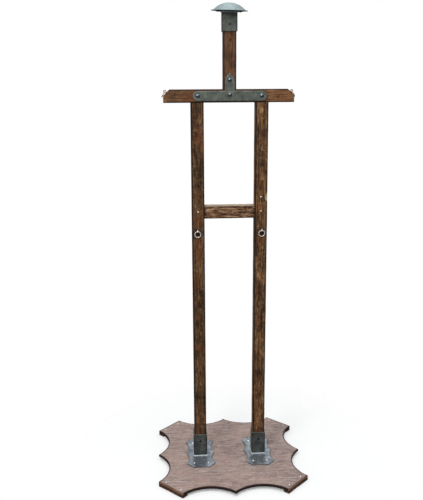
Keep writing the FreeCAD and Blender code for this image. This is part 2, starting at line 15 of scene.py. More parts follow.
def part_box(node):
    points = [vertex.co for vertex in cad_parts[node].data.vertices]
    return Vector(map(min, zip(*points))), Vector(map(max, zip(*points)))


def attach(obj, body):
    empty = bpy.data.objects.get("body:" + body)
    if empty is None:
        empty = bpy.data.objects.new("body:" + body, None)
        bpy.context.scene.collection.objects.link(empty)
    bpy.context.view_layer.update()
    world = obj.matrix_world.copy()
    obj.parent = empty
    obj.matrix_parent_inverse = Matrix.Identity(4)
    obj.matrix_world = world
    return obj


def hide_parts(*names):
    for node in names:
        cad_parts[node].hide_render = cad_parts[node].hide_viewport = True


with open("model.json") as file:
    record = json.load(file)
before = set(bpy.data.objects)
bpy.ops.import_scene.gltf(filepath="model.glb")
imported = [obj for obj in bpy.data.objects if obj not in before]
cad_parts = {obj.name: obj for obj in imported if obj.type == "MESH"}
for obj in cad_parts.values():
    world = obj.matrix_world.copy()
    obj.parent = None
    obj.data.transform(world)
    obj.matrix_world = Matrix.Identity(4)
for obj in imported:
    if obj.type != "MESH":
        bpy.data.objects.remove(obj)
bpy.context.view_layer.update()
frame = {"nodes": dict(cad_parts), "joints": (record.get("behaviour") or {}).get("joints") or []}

MM = 0.001
X, Y, Z = np.eye(3)
SIDES = {"left": -1, "right": 1}
POST_TONE = {"left": 1.0, "right": 1.36}  # the right post took less stain
NECK_TONE = 0.70  # and the neck took more than the bar

# Sizes that the CAD boxes don't give
ARRIS = 1.4 * MM  # rounding of a timber's long edges before wear
TENON = (15 * MM, 8 * MM, 36 * MM)  # half width, half thickness and length
BAR_END_CUT = 24 * MM
BOARD_CORNER_CUT = 94 * MM
BOARD_BITE = 44 * MM
PLATE_CUT = (29 * MM, 32 * MM)
PLATE_BITES = (4 * MM, 11 * MM)
TUBE_WALL = 3 * MM
TUBE_CORNER = 4 * MM
WELD_LEG = 4 * MM
CHIP_Z = 1134 * MM
CHIP_LENGTH = 38 * MM
CHIP_DEPTH = 5.5 * MM
TONGUE_SPRING_Z = 1571 * MM  # where the neck strap starts to narrow
TONGUE_SWELL = (11.5 * MM, 22 * MM)
DOME_T = 2 * MM
CAP_PLATE_CLIP = 6 * MM
CAP_LEAN = (math.radians(3.0), math.radians(1.6))  # the cap was welded on leaning forward and to the right

# Faces of a timber, in the order that section() walks round them
FRONT, RIGHT, REAR, LEFT = range(4)
# The same faces of a timber that lies along X
LYING_FRONT, LYING_BOTTOM, LYING_REAR, LYING_TOP = range(4)


# ---- small helpers -------------------------------------------------------------------------------


def span(node):
    """Lowest and highest corners of a CAD node, as arrays."""
    low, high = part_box(node)
    return np.array(low), np.array(high)


def tint(red, green, blue):
    """Linear colour from the 0-255 values that the eye sees."""
    shares = [value / 255 for value in (red, green, blue)]
    return tuple(((s + 0.055) / 1.055) ** 2.4 if s > 0.04 else s / 12.92 for s in shares) + (1.0,)


def field(points, seed, lengths, waves=16):
    """Smooth random field, about -1 to 1, that changes over the given lengths along each axis."""
    rng = np.random.default_rng(seed)
    total = np.zeros(len(points))
    for _ in range(waves):
        k = rng.normal(size=3) * 2.4 / np.array(lengths)
        total += np.cos(points @ k + rng.uniform(0, 2 * math.pi))
    return np.clip(total / math.sqrt(waves), -1, 1)


def stations(start, end, gap):
    """Evenly spaced values from start to end, no further apart than gap."""
    return np.linspace(start, end, max(2, int(math.ceil(abs(end - start) / gap)) + 1))


def loft(rings, closed=False):
    """Vertices and faces of a tube through rings of equally many points. Its ends are closed with fans."""
    rings = np.array(rings)
    count, n = rings.shape[:2]
    verts = rings.reshape(-1, 3)
    faces = []
    for r in range(count if closed else count - 1):
        low, high = r * n, (r + 1) % count * n
        for i in range(n):
            j = (i + 1) % n
            faces.append((low + i, low + j, high + j, high + i))
    if not closed:
        verts = np.vstack([verts, rings[0].mean(0), rings[-1].mean(0)])
        first, last = count * n, count * n + 1
        for i in range(n):
            j = (i + 1) % n
            faces.append((first, j, i))
            faces.append((last, (count - 1) * n + i, (count - 1) * n + j))
    return verts, faces


def piece(name, verts, faces, nodes, material, attributes=None, body="stand", sharp=38.0):
    """Add one visible piece that stands for CAD nodes and rides on a body."""
    mesh = bpy.data.meshes.new(name)
    mesh.from_pydata([tuple(v) for v in verts], [], faces)
    mesh.materials.append(material)
    for key, values in (attributes or {}).items():
        values = np.asarray(values, dtype=np.float32)
        if values.ndim == 2:
            mesh.attributes.new(key, "FLOAT_VECTOR", "POINT").data.foreach_set("vector", values.ravel())
        else:
            mesh.attributes.new(key, "FLOAT", "POINT").data.foreach_set("value", values)
    mesh.shade_smooth()
    mesh.set_sharp_from_angle(angle=math.radians(sharp))
    obj = bpy.data.objects.new(name, mesh)
    bpy.context.scene.collection.objects.link(obj)
    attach(obj, body)
    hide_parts(*nodes)
    return obj


def reshape(obj, change):
    """Move a piece's vertices by a function of their positions."""
    points = np.empty(3 * len(obj.data.vertices), dtype=np.float32)
    obj.data.vertices.foreach_get("co", points)
    obj.data.vertices.foreach_set("co", change(points.reshape(-1, 3)).ravel())
    obj.data.update()


# ---- node graphs ---------------------------------------------------------------------------------


class Graph:
    """Builds the nodes of a material or a world. All but node and finish return an output socket."""

    def __init__(self, owner):
        self.owner = owner
        owner.use_nodes = True
        self.tree = owner.node_tree
        self.tree.nodes.clear()

    def node(self, kind, inputs=None, **settings):
        made = self.tree.nodes.new(kind)
        for key, value in settings.items():
            setattr(made, key, value)
        for key, value in (inputs or {}).items():
            if isinstance(value, bpy.types.NodeSocket):
                self.tree.links.new(value, made.inputs[key])
            else:
                made.inputs[key].default_value = value
        return made

    def place(self):
        return self.node("ShaderNodeTexCoord").outputs["Object"]

    def stored(self, name, output="Fac"):
        return self.node("ShaderNodeAttribute", attribute_name=name).outputs[output]

    def noise(self, vector, stretch, shift=(0, 0, 0), detail=3.0, rough=0.5, distortion=0.0):
        """Noise over a vector that is stretched first, and shifted so that two patterns don't match."""
        inputs = {"Vector": vector, "Scale": stretch, "Location": shift}
        mapped = self.node("ShaderNodeMapping", inputs).outputs[0]
        inputs = {"Vector": mapped, "Scale": 1.0, "Detail": detail, "Roughness": rough}
        return self.node("ShaderNodeTexNoise", {**inputs, "Distortion": distortion}).outputs["Fac"]

    def math(self, operation, a, b=0.0, clamp=False):
        return self.node("ShaderNodeMath", {0: a, 1: b}, operation=operation, use_clamp=clamp).outputs[0]

    def span(self, value, low, high, to_low=0.0, to_high=1.0):
        inputs = {"Value": value, "From Min": low, "From Max": high, "To Min": to_low, "To Max": to_high}
        return self.node("ShaderNodeMapRange", inputs, interpolation_type="SMOOTHSTEP").outputs[0]

    def total(self, *weighted):
        """Weighted sum of (socket, weight) pairs."""
        result = None
        for socket, weight in weighted:
            term = self.math("MULTIPLY", socket, weight)
            result = term if result is None else self.math("ADD", result, term)
        return result

    def ramp(self, value, *stops):
        made = self.node("ShaderNodeValToRGB", {"Fac": value})
        elements = made.color_ramp.elements
        while len(elements) < len(stops):
            elements.new(0.5)
        for element, (position, colour) in zip(elements, stops):
            element.position = position
            element.color = colour
        return made.outputs["Color"]

    def mix(self, factor, a, b, blend="MIX"):
        made = self.node("ShaderNodeMix", {0: factor, 6: a, 7: b}, data_type="RGBA", blend_type=blend)
        return made.outputs[2]

    def over(self, colour, tone, mask, share=None):
        """Lay a tone over a colour where a mask is high. share is how much it can hide, or all of it."""
        if share is not None:
            mask = self.math("MULTIPLY", mask, share)
        return self.mix(mask, colour, tone)

    def shaded(self, colour, shade):
        """A colour times a number."""
        grey = self.node("ShaderNodeCombineColor", {0: shade, 1: shade, 2: shade}).outputs[0]
        return self.mix(1.0, colour, grey, "MULTIPLY")

    def bump(self, height, distance, strength=1.0, normal=None):
        inputs = {"Height": height, "Distance": distance, "Strength": strength}
        if normal is not None:
            inputs["Normal"] = normal
        return self.node("ShaderNodeBump", inputs).outputs[0]

    def painted_crease_shade(self, colour, kept):
        """Painted shade: darken a colour where something stands close by, in corners and where parts meet. kept
        is how much is left deep in a corner.
        """
        near = self.node("ShaderNodeAmbientOcclusion", {"Distance": 8 * MM}, samples=6).outputs["AO"]
        return self.shaded(colour, self.span(near, 0.35, 0.85, kept, 1.0))

    def finish(self, **inputs):
        names = {key.replace("_", " "): value for key, value in inputs.items()}
        shader = self.node("ShaderNodeBsdfPrincipled", names)
        self.node("ShaderNodeOutputMaterial", {"Surface": shader.outputs[0]})
        return self.owner


# ---- materials -----------------------------------------------------------------------------------


def stained_wood(name, tones, dark, contrast=1.0, blotch=0.3, top_light=0.0, edge=0.95, rough=0.55):
    """Hand-stained timber. Its grain runs along the third number of the stored grain vector.

    tones run from the deepest grain to the palest. dark is how much the darkest patches lose, blotch is the
    share of the pattern that isn't streaks, and top_light is how far a face that looks up is lightened: painted
    light from above.
    """
    deep, mid, warm, pale = [tint(*tone) for tone in tones]
    g = Graph(bpy.data.materials.new(name))
    grain = g.stored("grain", "Vector")
    fibre = g.noise(grain, (1300, 1300, 45), detail=3, rough=0.6)
    streak = g.noise(grain, (300, 300, 17), detail=5, rough=0.68, distortion=0.5)
    figure = g.noise(grain, (110, 110, 11), detail=4, rough=0.6, distortion=1.6)
    mottle = g.noise(grain, (95, 95, 62), detail=6, rough=0.7, distortion=0.8)
    patch = g.noise(grain, (14, 14, 11), detail=4, rough=0.6)
    streaks = 1.0 - blotch
    value = g.total(
        (fibre, 0.2 * streaks), (streak, 0.5 * streaks), (figure, 0.3 * streaks), (mottle, blotch)
    )
    value = g.span(value, 0.5 - 0.5 / contrast, 0.5 + 0.5 / contrast)
    colour = g.ramp(value, (0.41, deep), (0.475, mid), (0.53, warm), (0.61, pale))
    shade = g.math("MULTIPLY", g.span(patch, 0.38, 0.60, 1.0 - dark, 1.25), g.stored("tone"))
    colour = g.shaded(colour, shade)
    red = g.span(g.noise(grain, (21, 21, 15), (3, 1, 2), detail=3), 0.50, 0.66)
    colour = g.over(colour, tint(134, 68, 36), red, 0.26)
    # Painted light from above: faces that look up are lightened towards a pale tone.
    up = g.node("ShaderNodeSeparateXYZ", {0: g.node("ShaderNodeNewGeometry").outputs["Normal"]}).outputs["Z"]
    painted_top_light = g.math("MULTIPLY", g.span(up, 0.55, 0.9), g.span(streak, 0.30, 0.55, 0.55, 1.0))
    colour = g.over(colour, tint(212, 198, 180), painted_top_light, top_light)
    worn = g.math("MULTIPLY", g.stored("wear"), g.span(mottle, 0.52, 0.64))
    colour = g.over(colour, pale, worn, 0.35)
    # Painted shade: near-black along the arrises, where the faces turn away from the light.
    arris_shade = g.total((g.stored("edge"), 1.0), (mottle, 0.35), (streak, 0.15))
    colour = g.over(colour, tint(24, 16, 10), g.span(arris_shade, 0.50, 0.95), edge)
    # Darkening from grease and rust round fasteners, with painted shadow under the rings and painted shade
    # beside the cracks.
    dirt_and_shadow_mask = g.total((g.stored("dirt_and_shade"), 1.0), (mottle, 0.4))
    colour = g.over(colour, tint(28, 18, 12), g.span(dirt_and_shadow_mask, 0.40, 1.10), 0.85)
    knot = g.math("MULTIPLY", g.stored("knot"), g.span(fibre, 0.2, 0.7, 0.75, 1.0))
    colour = g.over(colour, tint(34, 20, 13), g.span(knot, 0.25, 0.85), 0.7)
    # Painted shade: near-black down the cracks.
    colour = g.over(colour, tint(14, 9, 6), g.span(g.stored("crack"), 0.05, 0.6))
    chipped = g.math("MULTIPLY", g.span(g.stored("chip"), 0.1, 0.6), g.span(streak, 0.38, 0.56, 0.5, 1.0))
    colour = g.over(colour, tint(220, 200, 172), chipped)
    height = g.total((fibre, 0.35), (streak, 0.45), (figure, 0.2), (mottle, 0.3))
    roughness = g.total((fibre, 0.25), (mottle, 0.2))
    # The base colour carries painted shade where parts stand close.
    return g.finish(
        Base_Color=g.painted_crease_shade(colour, 0.45),
        Roughness=g.math("ADD", roughness, rough - 0.22, clamp=True),
        Normal=g.bump(height, 0.8 * MM, 0.5),
        Specular_IOR_Level=0.25,
    )


def board_wood(name):
    """Stained broad top of the base, drawn pale with painted sheen of the sky on it, and with pale scuffs and
    dark edges.
    """
    g = Graph(bpy.data.materials.new(name))
    grain = g.stored("grain", "Vector")
    fibre = g.noise(grain, (700, 700, 40), detail=3, rough=0.6)
    streak = g.noise(grain, (130, 130, 13), detail=6, rough=0.68, distortion=1.2)
    figure = g.noise(grain, (42, 42, 9), detail=6, rough=0.68, distortion=2.6)
    cloud = g.noise(grain, (12, 12, 8), detail=5, rough=0.62)
    fleck = g.noise(grain, (150, 150, 105), (2, 5, 3), detail=4, rough=0.65, distortion=1.5)
    value = g.total((fibre, 0.10), (streak, 0.28), (figure, 0.26), (cloud, 0.14), (fleck, 0.22))
    # Pale tones: darker stained wood with painted sheen of the sky on the board's top.
    colour = g.ramp(
        value,
        (0.41, tint(94, 74, 70)),
        (0.47, tint(138, 117, 111)),
        (0.53, tint(166, 148, 142)),
        (0.60, tint(200, 187, 183)),
    )
    warmth = g.span(cloud, 0.42, 0.60)
    colour = g.over(colour, tint(158, 126, 114), warmth, 0.40)
    across = g.noise(grain, (60, 60, 34), (5, 2, 1), detail=5, rough=0.6, distortion=3.2)
    scuffs = g.span(g.math("ABSOLUTE", g.math("SUBTRACT", across, 0.5)), 0.0, 0.022, 1.0, 0.0)
    colour = g.over(colour, tint(208, 198, 194), scuffs, 0.42)
    darkening = g.span(g.noise(grain, (34, 34, 17), (1, 4, 2), detail=5, rough=0.65), 0.55, 0.70)
    colour = g.over(colour, tint(104, 86, 80), darkening, 0.45)
    pores = g.span(fibre, 0.30, 0.42, 1.0, 0.0)
    colour = g.over(colour, tint(86, 66, 58), pores, 0.35)
    rim = g.total((g.stored("edge"), 1.0), (figure, 0.3), (streak, 0.2))
    colour = g.over(colour, tint(66, 48, 42), g.span(rim, 0.66, 1.02))
    plies = g.noise(grain, (60, 900, 60), detail=2)
    cut_end = g.ramp(plies, (0.35, tint(118, 80, 62)), (0.5, tint(152, 108, 84)), (0.65, tint(178, 138, 110)))
    sawn = g.ramp(plies, (0.35, tint(30, 20, 17)), (0.5, tint(48, 34, 30)), (0.65, tint(66, 48, 42)))
    place = g.node("ShaderNodeSeparateXYZ", {0: g.place()})
    joint = g.span(place.outputs["Z"], 13 * MM, 14.5 * MM, 1.0, 0.0)
    cut_end = g.mix(joint, cut_end, tint(16, 11, 9))
    reach = g.math("ADD", g.math("ABSOLUTE", place.outputs["X"]), g.math("ABSOLUTE", place.outputs["Y"]))
    at_corner = g.span(reach, 0.503, 0.507)
    side = g.mix(at_corner, sawn, cut_end)
    colour = g.over(colour, side, g.span(g.stored("wall"), 0.3, 0.8))
    height = g.total((fibre, 0.4), (streak, 0.4), (figure, 0.25))
    roughness = g.total((fibre, 0.2), (figure, 0.25), (cloud, 0.1))
    # The base colour carries painted shade where parts stand close.
    return g.finish(
        Base_Color=g.painted_crease_shade(colour, 0.35),
        Roughness=g.math("ADD", roughness, 0.34, clamp=True),
        Normal=g.bump(height, 0.7 * MM, 0.5),
        Specular_IOR_Level=0.3,
    )


def forged_metal(name, tones, rough, metallic, rust=0.25, pit=1.0, walls=0.3, specular=0.5):
    """Sheet or bar metal with mottled oxide, scratches, pits and worn edges.

    tones are the darkest, middle and lightest oxide, and then the edge tone: worn metal on the iron, a darker
    painted shade on the socket plates. walls is how dark the cut sides
    of a sheet are: dark oxide with painted shade.
    """
    dark, mid, light, edge = [tint(*tone) for tone in tones]
    g = Graph(bpy.data.materials.new(name))
    place = g.place()
    mottle = g.noise(place, (38, 38, 38), detail=6, rough=0.62)
    grit = g.noise(place, (520, 520, 520), detail=4, rough=0.6)
    scratch = g.noise(place, (900, 260, 70), (0.3, 0.1, 0.2), detail=2)
    freckle = g.span(g.noise(place, (150, 150, 150), detail=3), 0.60, 0.72)
    value = g.total((mottle, 0.6), (grit, 0.2), (scratch, 0.2))
    colour = g.ramp(value, (0.38, dark), (0.5, mid), (0.62, light))
    colour = g.over(colour, tint(74, 52, 38), freckle, rust)
    # Near-black on a tube's rounded corners, which is painted shade, and on the cut sides of sheets, where it
    # is dark oxide with painted shade.
    darkening = g.math("MAXIMUM", g.stored("darkening"), g.math("MULTIPLY", g.stored("wall"), walls))
    darkening = g.math("MULTIPLY", darkening, g.span(mottle, 0.3, 0.6, 0.95, 0.75))
    colour = g.over(colour, tint(20, 20, 19), darkening)
    # The edge tone: worn bare metal on the iron, painted shade along the socket plates' edges.
    edge_mask = g.math("MULTIPLY", g.stored("edge"), g.span(mottle, 0.35, 0.6, 0.45, 1.0))
    colour = g.over(colour, edge, edge_mask)
    height = g.total((mottle, 0.5), (grit, 0.3 * pit), (scratch, 0.12))
    roughness = g.total((mottle, 0.22), (grit, 0.16), (scratch, 0.1), (edge_mask, -0.12))
    # The base colour carries painted shade where parts stand close.
    return g.finish(
        Base_Color=g.painted_crease_shade(colour, 0.4),
        Metallic=metallic,
        Roughness=g.math("ADD", roughness, rough - 0.24, clamp=True),
        Normal=g.bump(height, 0.35 * MM * pit, 0.5),
        Specular_IOR_Level=specular,
    )


def bright_metal(name, base, tarnish, rough, tarnish_share=0.5, metallic=1.0):
    """Plated or polished metal with tarnish and fine rub marks."""
    g = Graph(bpy.data.materials.new(name))
    place = g.place()
    cloud = g.noise(place, (260, 260, 260), detail=5, rough=0.6)
    rub = g.noise(place, (900, 270, 270), detail=3)
    colour = g.over(tint(*base), tint(*tarnish), g.span(cloud, 0.45, 0.68), tarnish_share)
    height = g.total((cloud, 0.3), (rub, 0.4))
    roughness = g.total((cloud, 0.2), (rub, 0.14))
    return g.finish(
        Base_Color=colour,
        Metallic=metallic,
        Roughness=g.math("ADD", roughness, rough - 0.17, clamp=True),
        Normal=g.bump(height, 0.12 * MM, 0.5),
    )


def weld_metal(name):
    """Wire-brushed weld bead, with a darker bluish heat colour where it meets the steel."""
    g = Graph(bpy.data.materials.new(name))
    place = g.place()
    cloud = g.noise(place, (180, 180, 180), detail=5, rough=0.6)
    grit = g.noise(place, (900, 900, 900), detail=3)
    colour = g.ramp(
        cloud, (0.36, tint(156, 164, 168)), (0.5, tint(186, 193, 196)), (0.66, tint(210, 214, 214))
    )
    colour = g.over(colour, tint(104, 100, 108), g.stored("edge"), 0.5)
    return g.finish(
        Base_Color=colour,
        Metallic=0.4,
        Roughness=g.math("ADD", g.total((cloud, 0.25), (grit, 0.2)), 0.32, clamp=True),
        Normal=g.bump(g.total((grit, 0.6), (cloud, 0.4)), 0.25 * MM, 0.6),
    )


WOODS = {
    "post_wood": dict(
        tones=((46, 32, 20), (84, 60, 39), (112, 80, 50), (158, 122, 86)), dark=0.42, contrast=0.9
    ),
    "bar_wood": dict(
        tones=((66, 44, 30), (112, 78, 54), (144, 102, 68), (176, 132, 94)),
        dark=0.32, contrast=0.55, blotch=0.2, edge=0.9,
    ),
    # The rung's faces that look up are lightened: painted light from above.
    "rung_wood": dict(
        tones=((42, 25, 16), (104, 69, 47), (140, 98, 70), (204, 168, 130)),
        dark=0.15, contrast=1.5, blotch=0.15, top_light=0.40, edge=0.6, rough=0.66,
    ),
    "strip_wood": dict(
        tones=((50, 33, 26), (88, 61, 48), (116, 84, 67), (146, 112, 92)), dark=0.3, edge=0.15, rough=0.62
    ),
}
SHEET_METALS = {
    "dark_iron": dict(
        tones=((56, 59, 58), (80, 84, 82), (108, 112, 109), (142, 148, 142)),
        rough=0.6, metallic=0.2, specular=0.15,
    ),
    # A lighter copy of the tubes' iron: painted light on the strap and the cap sleeve, which stand higher.
    "lit_strap_iron": dict(
        tones=((92, 98, 92), (118, 124, 116), (144, 150, 140), (164, 168, 160)), rough=0.5, metallic=0.6
    ),
    # A near-black copy of the iron: painted shade on the plate and rivets under the brim.
    "shaded_under_iron": dict(
        tones=((24, 25, 25), (34, 36, 35), (46, 48, 47), (60, 62, 60)), rough=0.6, metallic=0.3
    ),
    # Edge tone darker than the face: painted shade along the plate's edges. walls=0.95 makes the cut sides
    # near-black: dark oxide with painted shade.
    "plate_steel": dict(
        tones=((128, 137, 147), (176, 186, 196), (216, 223, 230), (120, 128, 136)),
        rough=0.34, metallic=0.9, rust=0.12, pit=0.5, walls=0.95,
    ),
    "dome_steel": dict(
        tones=((110, 123, 126), (130, 144, 146), (150, 164, 166), (136, 148, 150)),
        rough=0.55, metallic=0.5, rust=0.04, pit=0.3,
    ),
}
PLAIN_METALS = {
    "bolt_steel": dict(base=(120, 128, 136), tarnish=(46, 50, 54), rough=0.3, tarnish_share=0.8),
    "screw_steel": dict(base=(206, 186, 164), tarnish=(110, 90, 72), rough=0.46, metallic=0.6),
    "old_screw": dict(base=(84, 86, 82), tarnish=(50, 52, 49), rough=0.55, metallic=0.5),
    "black_screw": dict(base=(40, 40, 40), tarnish=(18, 18, 18), rough=0.5),
    "zinc_steel": dict(base=(226, 228, 226), tarnish=(150, 152, 150), rough=0.26, tarnish_share=0.3),
    "brassy_wire": dict(
        base=(204, 176, 156), tarnish=(118, 90, 74), rough=0.32, tarnish_share=0.6, metallic=0.7
    ),
    "bright_wire": dict(
        base=(255, 250, 244), tarnish=(206, 190, 174), rough=0.26, tarnish_share=0.35, metallic=0.4
    ),
}


def make_materials():
    """All the materials, by name. Pieces of one slot in the record can have more than one of them."""
    made = {name: stained_wood(name, **look) for name, look in WOODS.items()}
    made["base_wood"] = board_wood("base_wood")
    made.update({name: forged_metal(name, **look) for name, look in SHEET_METALS.items()})
    made["weld_steel"] = weld_metal("weld_steel")
    made.update({name: bright_metal(name, **look) for name, look in PLAIN_METALS.items()})
    return made


# ---- timber --------------------------------------------------------------------------------------


def section(half_a, half_b, gap, dense):
    """Points round a rounded rectangle, anticlockwise from the front face's left end.

    Returns (a, b, normal a, normal b, face, position on the face) rows. Face -1 is a rounded corner.
    dense lists (face, position) lines that get closely spaced points.
    """
    rows = []
    flats = [half_a - ARRIS, half_b - ARRIS, half_a - ARRIS, half_b - ARRIS]
    walls = [half_b, half_a, half_b, half_a]
    for face in range(4):
        along = np.array([math.cos(face * math.pi / 2), math.sin(face * math.pi / 2)])
        out = np.array([along[1], -along[0]])
        places = list(stations(-flats[face], flats[face], gap))
        for line in [p for f, p in dense if f == face]:
            places = [p for p in places if abs(p - line) > 2.2 * MM or abs(p) > flats[face] - 0.1 * MM]
            places += [line + d * MM for d in (-1.5, -0.7, -0.3, 0, 0.3, 0.7, 1.5)]
        for p in sorted(places):
            rows.append((*(along * p + out * walls[face]), *out, face, p))
        centre = along * flats[face] + out * (walls[face] - ARRIS)
        for step in (1, 2, 3):
            turn = step * math.pi / 8
            normal = out * math.cos(turn) + along * math.sin(turn)
            rows.append((*(centre + normal * ARRIS), *normal, -1, face))
    return np.array(rows)


def closeness(distance, reach):
    """1 at no distance, fading to 0 over about the reach."""
    return np.exp(-((distance / reach) ** 2))


class Timber:
    """A length of timber with wear. Its own axes are a and b across it and u along it."""

    def __init__(self, half_a, half_b, length, seed, gap=3 * MM, step=4 * MM, cracks=(), dense=(), tone=1.0):
        self.half = (half_a, half_b)
        self.length = length
        self.seed = seed
        self.cracks = cracks
        self.rows = section(half_a, half_b, gap, [(face, p) for face, p, *_ in cracks] + list(dense))
        self.u = stations(0, length, step)
        n, m = len(self.rows), len(self.u)
        grid = np.tile(self.rows, (m, 1))
        self.a, self.b, self.na, self.nb, self.face, self.p = grid.T.copy()
        self.s = np.repeat(self.u, n)
        self.depth = np.zeros(n * m)
        self.marks = {key: np.zeros(n * m) for key in ("edge", "wear", "crack", "knot", "chip", "dirt_and_shade")}
        self.marks["tone"] = np.full(n * m, tone)
        self.grain = np.stack([self.a, self.b, self.s], 1)
        from_corner = np.maximum(half_a - np.abs(self.a), half_b - np.abs(self.b))
        self.from_corner = np.where(self.face < 0, 0.0, from_corner)
        self.marks["edge"] = closeness(self.from_corner, 5.2 * MM)

    def _points(self):
        return np.stack([self.a, self.b, self.s], 1)

    def wear(self, nicks, roundness=0.5 * MM):
        """Round off the long edges unevenly, and knock some nicks out of them."""
        rng = np.random.default_rng(self.seed)
        quadrant = (self.a > 0) * 1 + (self.b > 0) * 2
        for corner in range(4):
            here = quadrant == corner
            line = np.stack([np.full(len(self.s), corner * 0.7), np.zeros(len(self.s)), self.s], 1)
            rounding = roundness * (1 + 0.9 * field(line, self.seed + corner, (1, 1, 60 * MM)))
            for _ in range(nicks):
                middle = rng.uniform(0.02, 0.98) * self.length
                size = rng.uniform(3, 11) * MM
                bite = rng.uniform(0.5, 1.8) * MM
                rounding += bite * closeness(self.s - middle, size)
            fall = closeness(self.from_corner, 2.6 * MM)
            self.depth += here * fall * rounding
            rubbed = here * closeness(self.from_corner, 1.5 * MM)
            self.marks["wear"] += rubbed * np.clip(rounding / (1.4 * MM), 0, 1)
        return self

    def undulate(self, height=0.22 * MM):
        """Shallow hollows of hand planing, and raised grain."""
        points = self._points()
        slow = field(points, self.seed + 10, (40 * MM, 40 * MM, 160 * MM)) * 0.5 + 0.5
        grain = field(points, self.seed + 11, (5 * MM, 5 * MM, 120 * MM)) * 0.5 + 0.5
        self.depth += height * (0.6 * slow + 0.4 * grain)
        return self

    def dent(self, count):
        """Knocks and bruises on the flat faces."""
        rng = np.random.default_rng(self.seed + 20)
        for _ in range(count):
            face = rng.integers(4)
            reach = self.half[0 if face % 2 == 0 else 1]
            p0, u0 = rng.uniform(-0.8, 0.8) * reach, rng.uniform(0.02, 0.98) * self.length
            size, bite = rng.uniform(3, 8) * MM, rng.uniform(0.2, 0.6) * MM
            near = closeness(self.p - p0, size) * closeness(self.s - u0, size * 1.7)
            self.depth += (self.face == face) * near * bite
        return self

    def knots(self, spots):
        """Knots at (face, position, height, radius) spots. The grain flows round them."""
        for face, p0, u0, radius in spots:
            dp, du = self.p - p0, self.s - u0
            here = (self.face == face) * 1.0
            near = here * closeness(dp, 2.2 * radius) * closeness(du, 4.2 * radius)
            axis = 0 if face % 2 == 0 else 1
            self.grain[:, axis] -= 0.8 * near * (self.grain[:, axis] - (p0 if face in (0, 1) else -p0))
            core = here * closeness(np.hypot(dp, du / 1.4), radius)
            self.marks["knot"] = np.maximum(self.marks["knot"], core)
            ring = here * closeness(np.hypot(dp, du / 1.4) - 1.3 * radius, 0.5 * radius)
            self.depth += 0.45 * MM * core - 0.12 * MM * ring
        return self

    def keep(self, spots, radius=11 * MM):
        """Leave the timber flat round (face, position, height) spots, where a fastener bears on it."""
        for face, p0, u0 in spots:
            away = np.hypot(self.p - p0, self.s - u0)
            flat = (self.face == face) * closeness(np.clip(away - radius * 0.7, 0, None), radius * 0.5)
            self.depth *= 1 - flat
        return self

    def dirt_and_shade(self, spots):
        """Darkening round (face, position, height, radius) spots. Round fasteners it is grease and rust; under
        a hanging ring it is painted shadow.
        """
        for face, p0, u0, radius in spots:
            halo = (self.face == face) * closeness(np.hypot(self.p - p0, self.s - u0), radius)
            self.marks["dirt_and_shade"] = np.maximum(self.marks["dirt_and_shade"], halo)
        return self

    def crack(self):
        """Drying cracks: (face, position, start, end, depth), which follow the grain and wander a little."""
        for face, p0, start, end, depth in self.cracks:
            here = (self.face == face) * 1.0
            t = np.clip((self.s - start) / (end - start), 0, 1)
            open_ = np.sin(math.pi * t) ** 0.6
            off = np.abs(self.p - p0)
            groove = here * np.clip(1 - off / (0.8 * MM), 0, 1) * open_
            self.depth += groove * depth
            self.marks["crack"] = np.maximum(self.marks["crack"], groove)
            # Painted shade on the wood beside the crack.
            shadow = here * closeness(off, 1.5 * MM) * open_ * 0.8
            self.marks["dirt_and_shade"] = np.maximum(self.marks["dirt_and_shade"], shadow)
            line = np.stack([np.full(len(self.s), p0), np.full(len(self.s), face * 0.3), self.s], 1)
            wander = 1.3 * MM * field(line, self.seed + 31, (1, 1, 45 * MM))
            shift = here * closeness(self.p - p0, 6 * MM) * wander
            sign = 1 if face in (0, 1) else -1
            if face % 2 == 0:
                self.a += sign * shift
            else:
                self.b += sign * shift
        return self

    def chip(self, middle, length, depth):
        """Splintered chip out of the front right edge."""
        out = np.array([1, -1]) / math.sqrt(2)
        q = (self.a - self.half[0]) * out[0] + (self.b + self.half[1]) * out[1]
        t = np.clip(1 - ((self.s - middle) / (length / 2)) ** 2, 0, None)
        splinter = field(self._points(), self.seed + 40, (1.5 * MM, 1.5 * MM, 25 * MM))
        limit = -depth * t * (0.93 + 0.07 * splinter)
        over = np.clip(q - limit, 0, None) * (t > 0)
        self.a -= out[0] * over
        self.b -= out[1] * over
        bruise = np.exp(-np.clip(limit - q, 0, None) / (1.1 * MM)) * np.sqrt(t)
        self.marks["chip"] = np.maximum(np.clip(over / (0.6 * MM), 0, 1) * (t > 0.03), bruise)
        self.marks["edge"] *= 1 - self.marks["chip"]
        return self

    def slope_ends(self, cut):
        """Cut the upper corners off both ends of a lying timber: the top drops towards each end."""
        half = self.half[0]
        drop = np.clip(cut - np.minimum(self.s, self.length - self.s), 0, None)
        sloped = half - (half - self.a) * (2 * half - drop) / (2 * half)
        self.grain[:, 0] += sloped - self.a
        self.a = sloped
        return self

    def _tenon(self, ring_u, sign, tenon):
        """Rings of a (half a, half b, length) tenon that stands out from an end, with an eased tip."""
        *halves, length = tenon
        shape = self.rows[:, :2] / np.array(self.half) * np.array(halves)
        rings = []
        for offset in (0.0, length - 1 * MM, length):
            inset = 1.0 if offset < length else 1 - 1 * MM / min(halves)
            rings.append(np.column_stack([shape * inset, np.full(len(shape), ring_u + sign * offset)]))
        return rings

